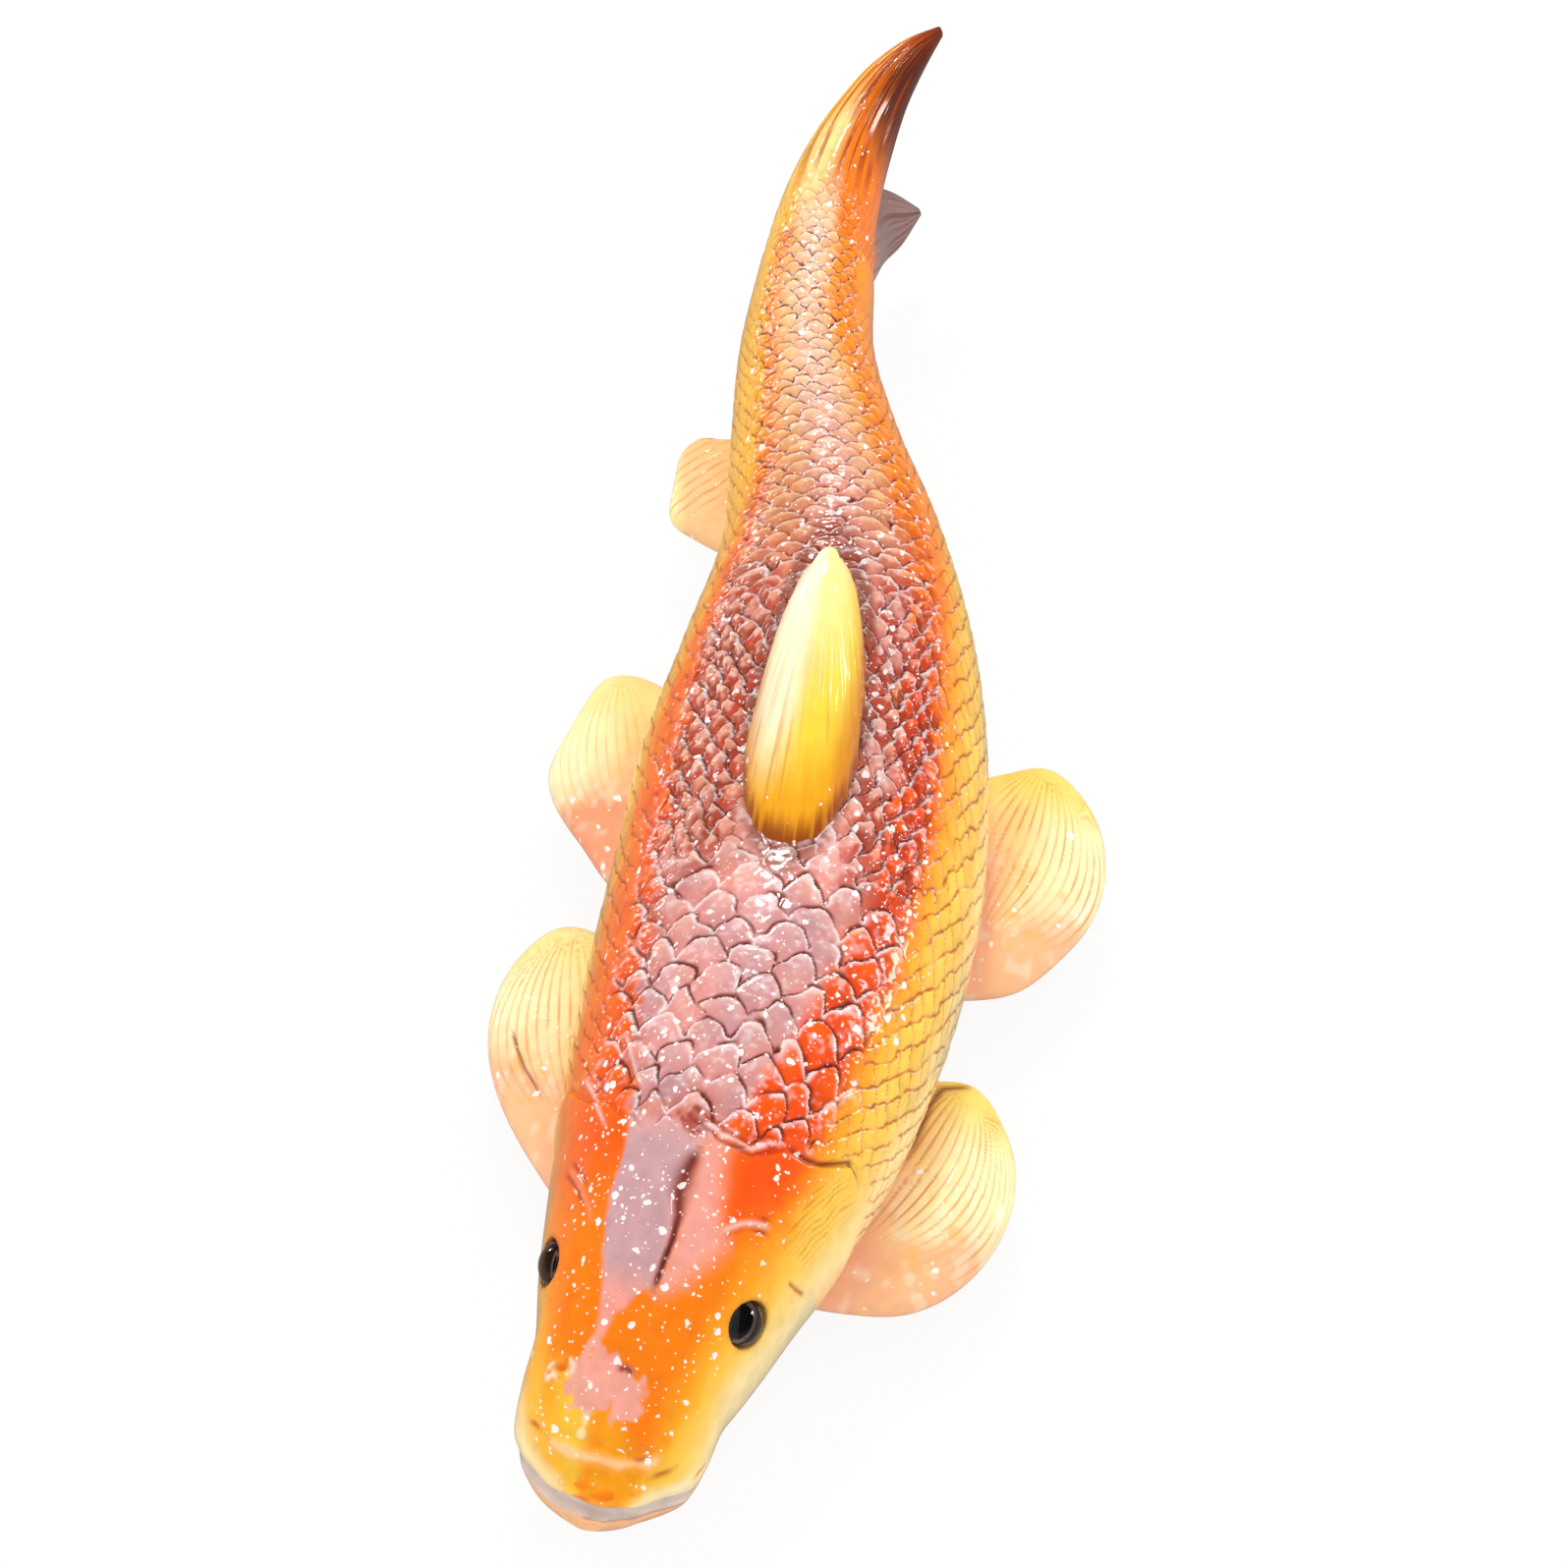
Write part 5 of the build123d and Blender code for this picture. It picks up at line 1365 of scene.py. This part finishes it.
class KOI_OT_fins(bpy.types.Operator):
    """Paired fins and the anal fin, each a domed leaf with curved rays"""
    bl_idname = "koi.fins"
    bl_label = "Side fins"

    def execute(self, context):
        sizes, paints = panel_values(context)
        material = painted_material("koi_fins", sizes, grain=0.05, coat=0.55)
        for number, (name, place, level, side, span, chord, thick, outline) in enumerate(SIDE_FINS):
            root, outward, back, up = fin_frame(place, level, side)
            ring = closed_outline(outline * (span, chord), 300)
            middle = np.array([FIN_MIDDLE_SHARE[0] * span, FIN_MIDDLE_SHARE[1] * chord])
            knots = np.linspace(0, 1, len(CUSHION_SHARES))
            section = curve_through(knots, CUSHION_SHARES, np.linspace(0, 1, 130)[1:-1])
            size, lift = section[:, 0, None], section[:, 1, None]
            flat = middle + (ring - middle) * size[..., None]
            out, rear = flat[..., 0] / span, flat[..., 1] / chord
            anal = name.startswith("anal")
            # Rays: curves at steady shares of the way from the body's side to the rim
            order = np.argsort(ring[:, 1])
            edge = ring[order][ring[order][:, 0] > 0.3 * span]
            reach = np.interp(flat[..., 1], edge[:, 1], edge[:, 0]) / span
            inner = track(rear, [(0.0, 0.02), (0.5, 0.08), (0.8, 0.16), (1.0, 0.30)])
            ray = (out - inner) / np.maximum(reach - inner, 0.12)
            start = np.array([0.05 * span, 0.10 * chord])
            tip = ring[np.argmax(ring[:, 1])] - start
            away = flat - start
            steep = np.degrees(np.arctan2(tip[1], tip[0]))
            share = np.hypot(away[..., 0], away[..., 1]) / np.hypot(*tip)
            fan = np.degrees(np.arctan2(away[..., 1], away[..., 0])) - steep * share
            fan = fan / np.maximum(1 - share, 0.1) / np.degrees(4 * sizes.ray_step / np.hypot(*tip))
            if anal:
                fan = 9 * (0.95 * rear + 0.40 * out)
            fan = fan + 0.10 * mottle(out * 5, rear * 5, 60 + number)
            groove = ramp(0.55, 1.0, np.cos(2 * np.pi * fan)) * ramp(0.97, 0.88, share)
            top = ramp(-0.1, 0.25, lift + np.zeros_like(out))
            rayed = ramp(0.06, 0.30, rear - 0.06 * (1 - out)) * ramp(0.99, 0.95, size)
            rayed = rayed * ramp(0.02, 0.14, out) * (0.35 + 0.65 * top)
            if "right" in name or anal:
                rayed = rayed * 0.8
            if name == "right_pelvic_fin":
                rayed = 0.55 * rayed
            groove = groove * rayed * np.clip(0.75 + 0.6 * mottle(out * 8, rear * 9, 70 + number), 0, 1)
            height = lift * thick - sizes.ray_depth * groove * np.where(top > 0.5, 1, -1)
            edge_lift = 0.30 * MM * top * ramp(0.75, 1.0, ray) * ramp(1.0, 0.93, size)
            paint = fin_paint(name, number, paints, out, rear, ray, groove)
            if name in FIN_CREASES:
                width, spots = FIN_CREASES[name]
                gap, along = polyline_distance(flat[..., 0], flat[..., 1], np.array(spots) * (span, chord))
                gap = gap + (lift < 0) * 5 * MM
                strong = ramp(0, 0.12, along) * ramp(1, 0.7, along)
                height -= (0.5 * width * MM + 0.15 * MM) * strong * bell(gap, width * MM)
                paint = blend(paint, paints.umber * 1.6 + paints.rose * 0.06,
                              0.85 * strong * bell(gap, 0.8 * width * MM))
            points = (root + flat[..., :1] * outward + flat[..., 1:] * back
                      + (height + edge_lift)[..., None] * up)
            specks = 0.16 * ramp(0.75, 0.2, rear) + np.zeros_like(out)
            ends = (root + middle[0] * outward + middle[1] * back + 0.56 * thick * up,
                    root + middle[0] * outward + middle[1] * back - 0.50 * thick * up)
            make_piece(name + "_leaf", points, ends, material, name, paint, specks)
        return {"FINISHED"}


class KOI_OT_eyes(bpy.types.Operator):
    """Painted irises and the clear domes over them"""
    bl_idname = "koi.eyes"
    bl_label = "Eyes"

    def execute(self, context):
        glass, tree = node_tree("koi_eye_glass")
        haze = noise(tree, object_place(tree), 300.0).outputs["Fac"]
        surface(tree, add_node(tree, "ShaderNodeBsdfPrincipled", [
            ("Base Color", WHITE), ("Roughness", map_range(tree, haze, 0, 1, 0, 0.02)),
            ("IOR", 1.08), ("Transmission Weight", 1.0), ("Coat Weight", 1.0),
            ("Coat Roughness", 0.03), ("Coat IOR", 1.5)]))
        # Dome: back, side and cap of the glass, as radius and height over the skin
        cap = np.radians(np.linspace(50.04, 2, 30))
        side = [[1.0, GLASS_BACK], [2.9, GLASS_BACK]]
        side = side + [[GLASS_RIM, height] for height in (-1.58, -1.5, -0.8, -0.05)]
        section = np.concatenate([side, np.column_stack([
            GLASS_BALL * np.sin(cap), GLASS_BALL * np.cos(cap) - GLASS_SINK])]) * MM
        turn = np.linspace(0, 2 * np.pi, 96, endpoint=False)
        for side_name in ("left", "right"):
            middle, axis = eye_frame(side_name)
            first = np.cross(axis, (0, 0, 1))
            first = first / np.linalg.norm(first)
            second = np.cross(axis, first)
            spoke = np.cos(turn)[:, None] * first + np.sin(turn)[:, None] * second
            points = middle + section[:, :1, None] * spoke + section[:, 1:, None] * axis
            ends = (middle + GLASS_BACK * MM * axis, middle + GLASS_TOP * MM * axis)
            make_piece(side_name + "_eye_dome", points, ends, glass,
                       side_name + "_eye_glass")
            low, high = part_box(side_name + "_eye_iris")
            disc = (np.array(low) + np.array(high)) / 2
            iris, tree = node_tree("koi_" + side_name + "_iris")
            place = object_place(tree)
            away = add_node(tree, "ShaderNodeVectorMath", [(0, place), (1, tuple(disc))],
                            operation="DISTANCE").outputs["Value"]
            fleck = noise(tree, place, 1500.0).outputs["Fac"]
            ring = map_range(tree, away, *BRONZE_START, 0, 1)
            edge = map_range(tree, away, *BRONZE_END, 0, 1)
            bronze = mix_colours(tree, fleck, (0.95, 0.48, 0.32, 1), (1.0, 0.85, 0.75, 1))
            colour = mix_colours(tree, ring, (0.004, 0.003, 0.003, 1), bronze)
            colour = mix_colours(tree, edge, colour, (0.03, 0.012, 0.008, 1))
            surface(tree, add_node(tree, "ShaderNodeBsdfPrincipled", [
                ("Base Color", colour), ("Roughness", 0.45), ("Specular IOR Level", 0.1)]))
            dress_node(side_name + "_eye_iris", iris)
        return {"FINISHED"}


class KOI_OT_base(bpy.types.Operator):
    """Finishes of the belly plate, its stopper and the ballast"""
    bl_idname = "koi.base"
    bl_label = "Belly and ballast"

    def execute(self, context):
        paints = panel_values(context)[1]
        dress_node("belly_plate", node_material(
            "koi_belly", paints.amber, paints.cream, 60, 0.35, 0.1, coat=0.9))
        dress_node("belly_plug", node_material(
            "koi_plug", (0.020, 0.019, 0.018), (0.045, 0.042, 0.040), 900, 0.7, 0.4))
        dress_node("ballast_bar", node_material(
            "koi_ballast", (0.045, 0.045, 0.048), (0.11, 0.09, 0.08), 500, 0.65, 0.8, metallic=0.8))
        return {"FINISHED"}


class KOI_OT_stage(bpy.types.Operator):
    """Pale floor, soft lamps and the camera of the photograph"""
    bl_idname = "koi.stage"
    bl_label = "Stage"

    def execute(self, context):
        scene = context.scene
        scene.view_settings.view_transform = "Standard"
        floor_mesh = bpy.data.meshes.new("floor")
        reach = 3.0
        floor_mesh.from_pydata([(-reach, -reach, 0), (reach, -reach, 0), (reach, reach, 0),
                                (-reach, reach, 0)], [], [(0, 1, 2, 3)])
        floor = bpy.data.objects.new("floor", floor_mesh)
        scene.collection.objects.link(floor)
        material, tree = node_tree("floor_paper")
        grain = noise(tree, object_place(tree), 40.0).outputs["Fac"]
        pale = mix_colours(tree, grain, (0.90, 0.90, 0.90, 1), (0.93, 0.93, 0.93, 1))
        paper = add_node(tree, "ShaderNodeBsdfDiffuse", [("Color", pale)]).outputs[0]
        white, dim = (add_node(tree, "ShaderNodeEmission", [
            ("Color", WHITE), ("Strength", strength)]).outputs[0] for strength in (1.0, 0.30))
        ray = add_node(tree, "ShaderNodeLightPath")
        share = math_node(tree, "MULTIPLY", ray.outputs["Is Camera Ray"], 0.90)
        mixed = mix_shaders(tree, share, paper, white)
        mixed = mix_shaders(tree, ray.outputs["Is Glossy Ray"], mixed, dim)
        add_node(tree, "ShaderNodeOutputMaterial", [("Surface", mixed)])
        floor_mesh.materials.append(material)
        world = bpy.data.worlds.new("studio")
        world.use_nodes = True
        tree = world.node_tree
        tree.nodes.clear()
        soft, plain, dim = (add_node(tree, "ShaderNodeBackground", [
            ("Color", WHITE), ("Strength", strength)]).outputs[0] for strength in (0.92, 1.0, 0.05))
        ray = add_node(tree, "ShaderNodeLightPath")
        mixed = mix_shaders(tree, ray.outputs["Is Glossy Ray"], soft, dim)
        mixed = mix_shaders(tree, ray.outputs["Is Camera Ray"], mixed, plain)
        add_node(tree, "ShaderNodeOutputWorld", [("Surface", mixed)])
        scene.world = world
        for name, spot, width, power, shine in LAMPS:
            data = bpy.data.lights.new(name, "AREA")
            data.shape = "SQUARE"
            data.size = width
            data.energy = power
            lamp = bpy.data.objects.new(name, data)
            lamp.location = spot
            lamp.visible_glossy = shine
            away = np.array(spot) - np.array(VIEW_TARGET)
            lamp.rotation_euler = look_angles(away)
            scene.collection.objects.link(lamp)
        azimuth, elevation = math.radians(VIEW_AZIMUTH), math.radians(VIEW_ELEVATION)
        away = np.array([math.sin(azimuth) * math.cos(elevation),
                         -math.cos(azimuth) * math.cos(elevation), math.sin(elevation)])
        data = bpy.data.cameras.new("photo_camera")
        data.lens = VIEW_LENS
        data.sensor_width = VIEW_SENSOR
        data.sensor_fit = "HORIZONTAL"
        camera = bpy.data.objects.new("photo_camera", data)
        camera.location = np.array(VIEW_TARGET) + VIEW_DISTANCE * away
        camera.rotation_euler = look_angles(away)
        scene.collection.objects.link(camera)
        scene.camera = camera
        return {"FINISHED"}


def look_angles(away):
    """Angles of an object whose -Z looks against away, kept upright."""
    flat = math.hypot(away[0], away[1])
    return (math.atan2(flat, away[2]), 0, math.atan2(away[0], -away[1]))


class KOI_PT_panel(bpy.types.Panel):
    """Sizes, paints and pieces of the koi"""
    bl_idname = "KOI_PT_panel"
    bl_label = "Koi"
    bl_space_type = "VIEW_3D"
    bl_region_type = "UI"
    bl_category = "Koi"

    def draw(self, context):
        for group in (context.scene.koi_sizes, context.scene.koi_paints):
            for key in group.__annotations__:
                self.layout.prop(group, key)
        for operator in OPERATORS:
            self.layout.operator(operator.bl_idname)


OPERATORS = (KOI_OT_skin, KOI_OT_tail, KOI_OT_dorsal, KOI_OT_fins, KOI_OT_eyes, KOI_OT_base,
             KOI_OT_stage)
CLASSES = (KoiSizes, KoiPaints) + OPERATORS + (KOI_PT_panel,)


def register():
    for cls in CLASSES:
        bpy.utils.register_class(cls)
    bpy.types.Scene.koi_sizes = PointerProperty(type=KoiSizes)
    bpy.types.Scene.koi_paints = PointerProperty(type=KoiPaints)


def unregister():
    del bpy.types.Scene.koi_paints
    del bpy.types.Scene.koi_sizes
    for cls in reversed(CLASSES):
        bpy.utils.unregister_class(cls)


def main():
    register()
    bpy.ops.koi.skin()
    bpy.ops.koi.tail()
    bpy.ops.koi.dorsal()
    bpy.ops.koi.fins()
    bpy.ops.koi.eyes()
    bpy.ops.koi.base()
    bpy.ops.koi.stage()


if __name__ == "__main__":
    main()
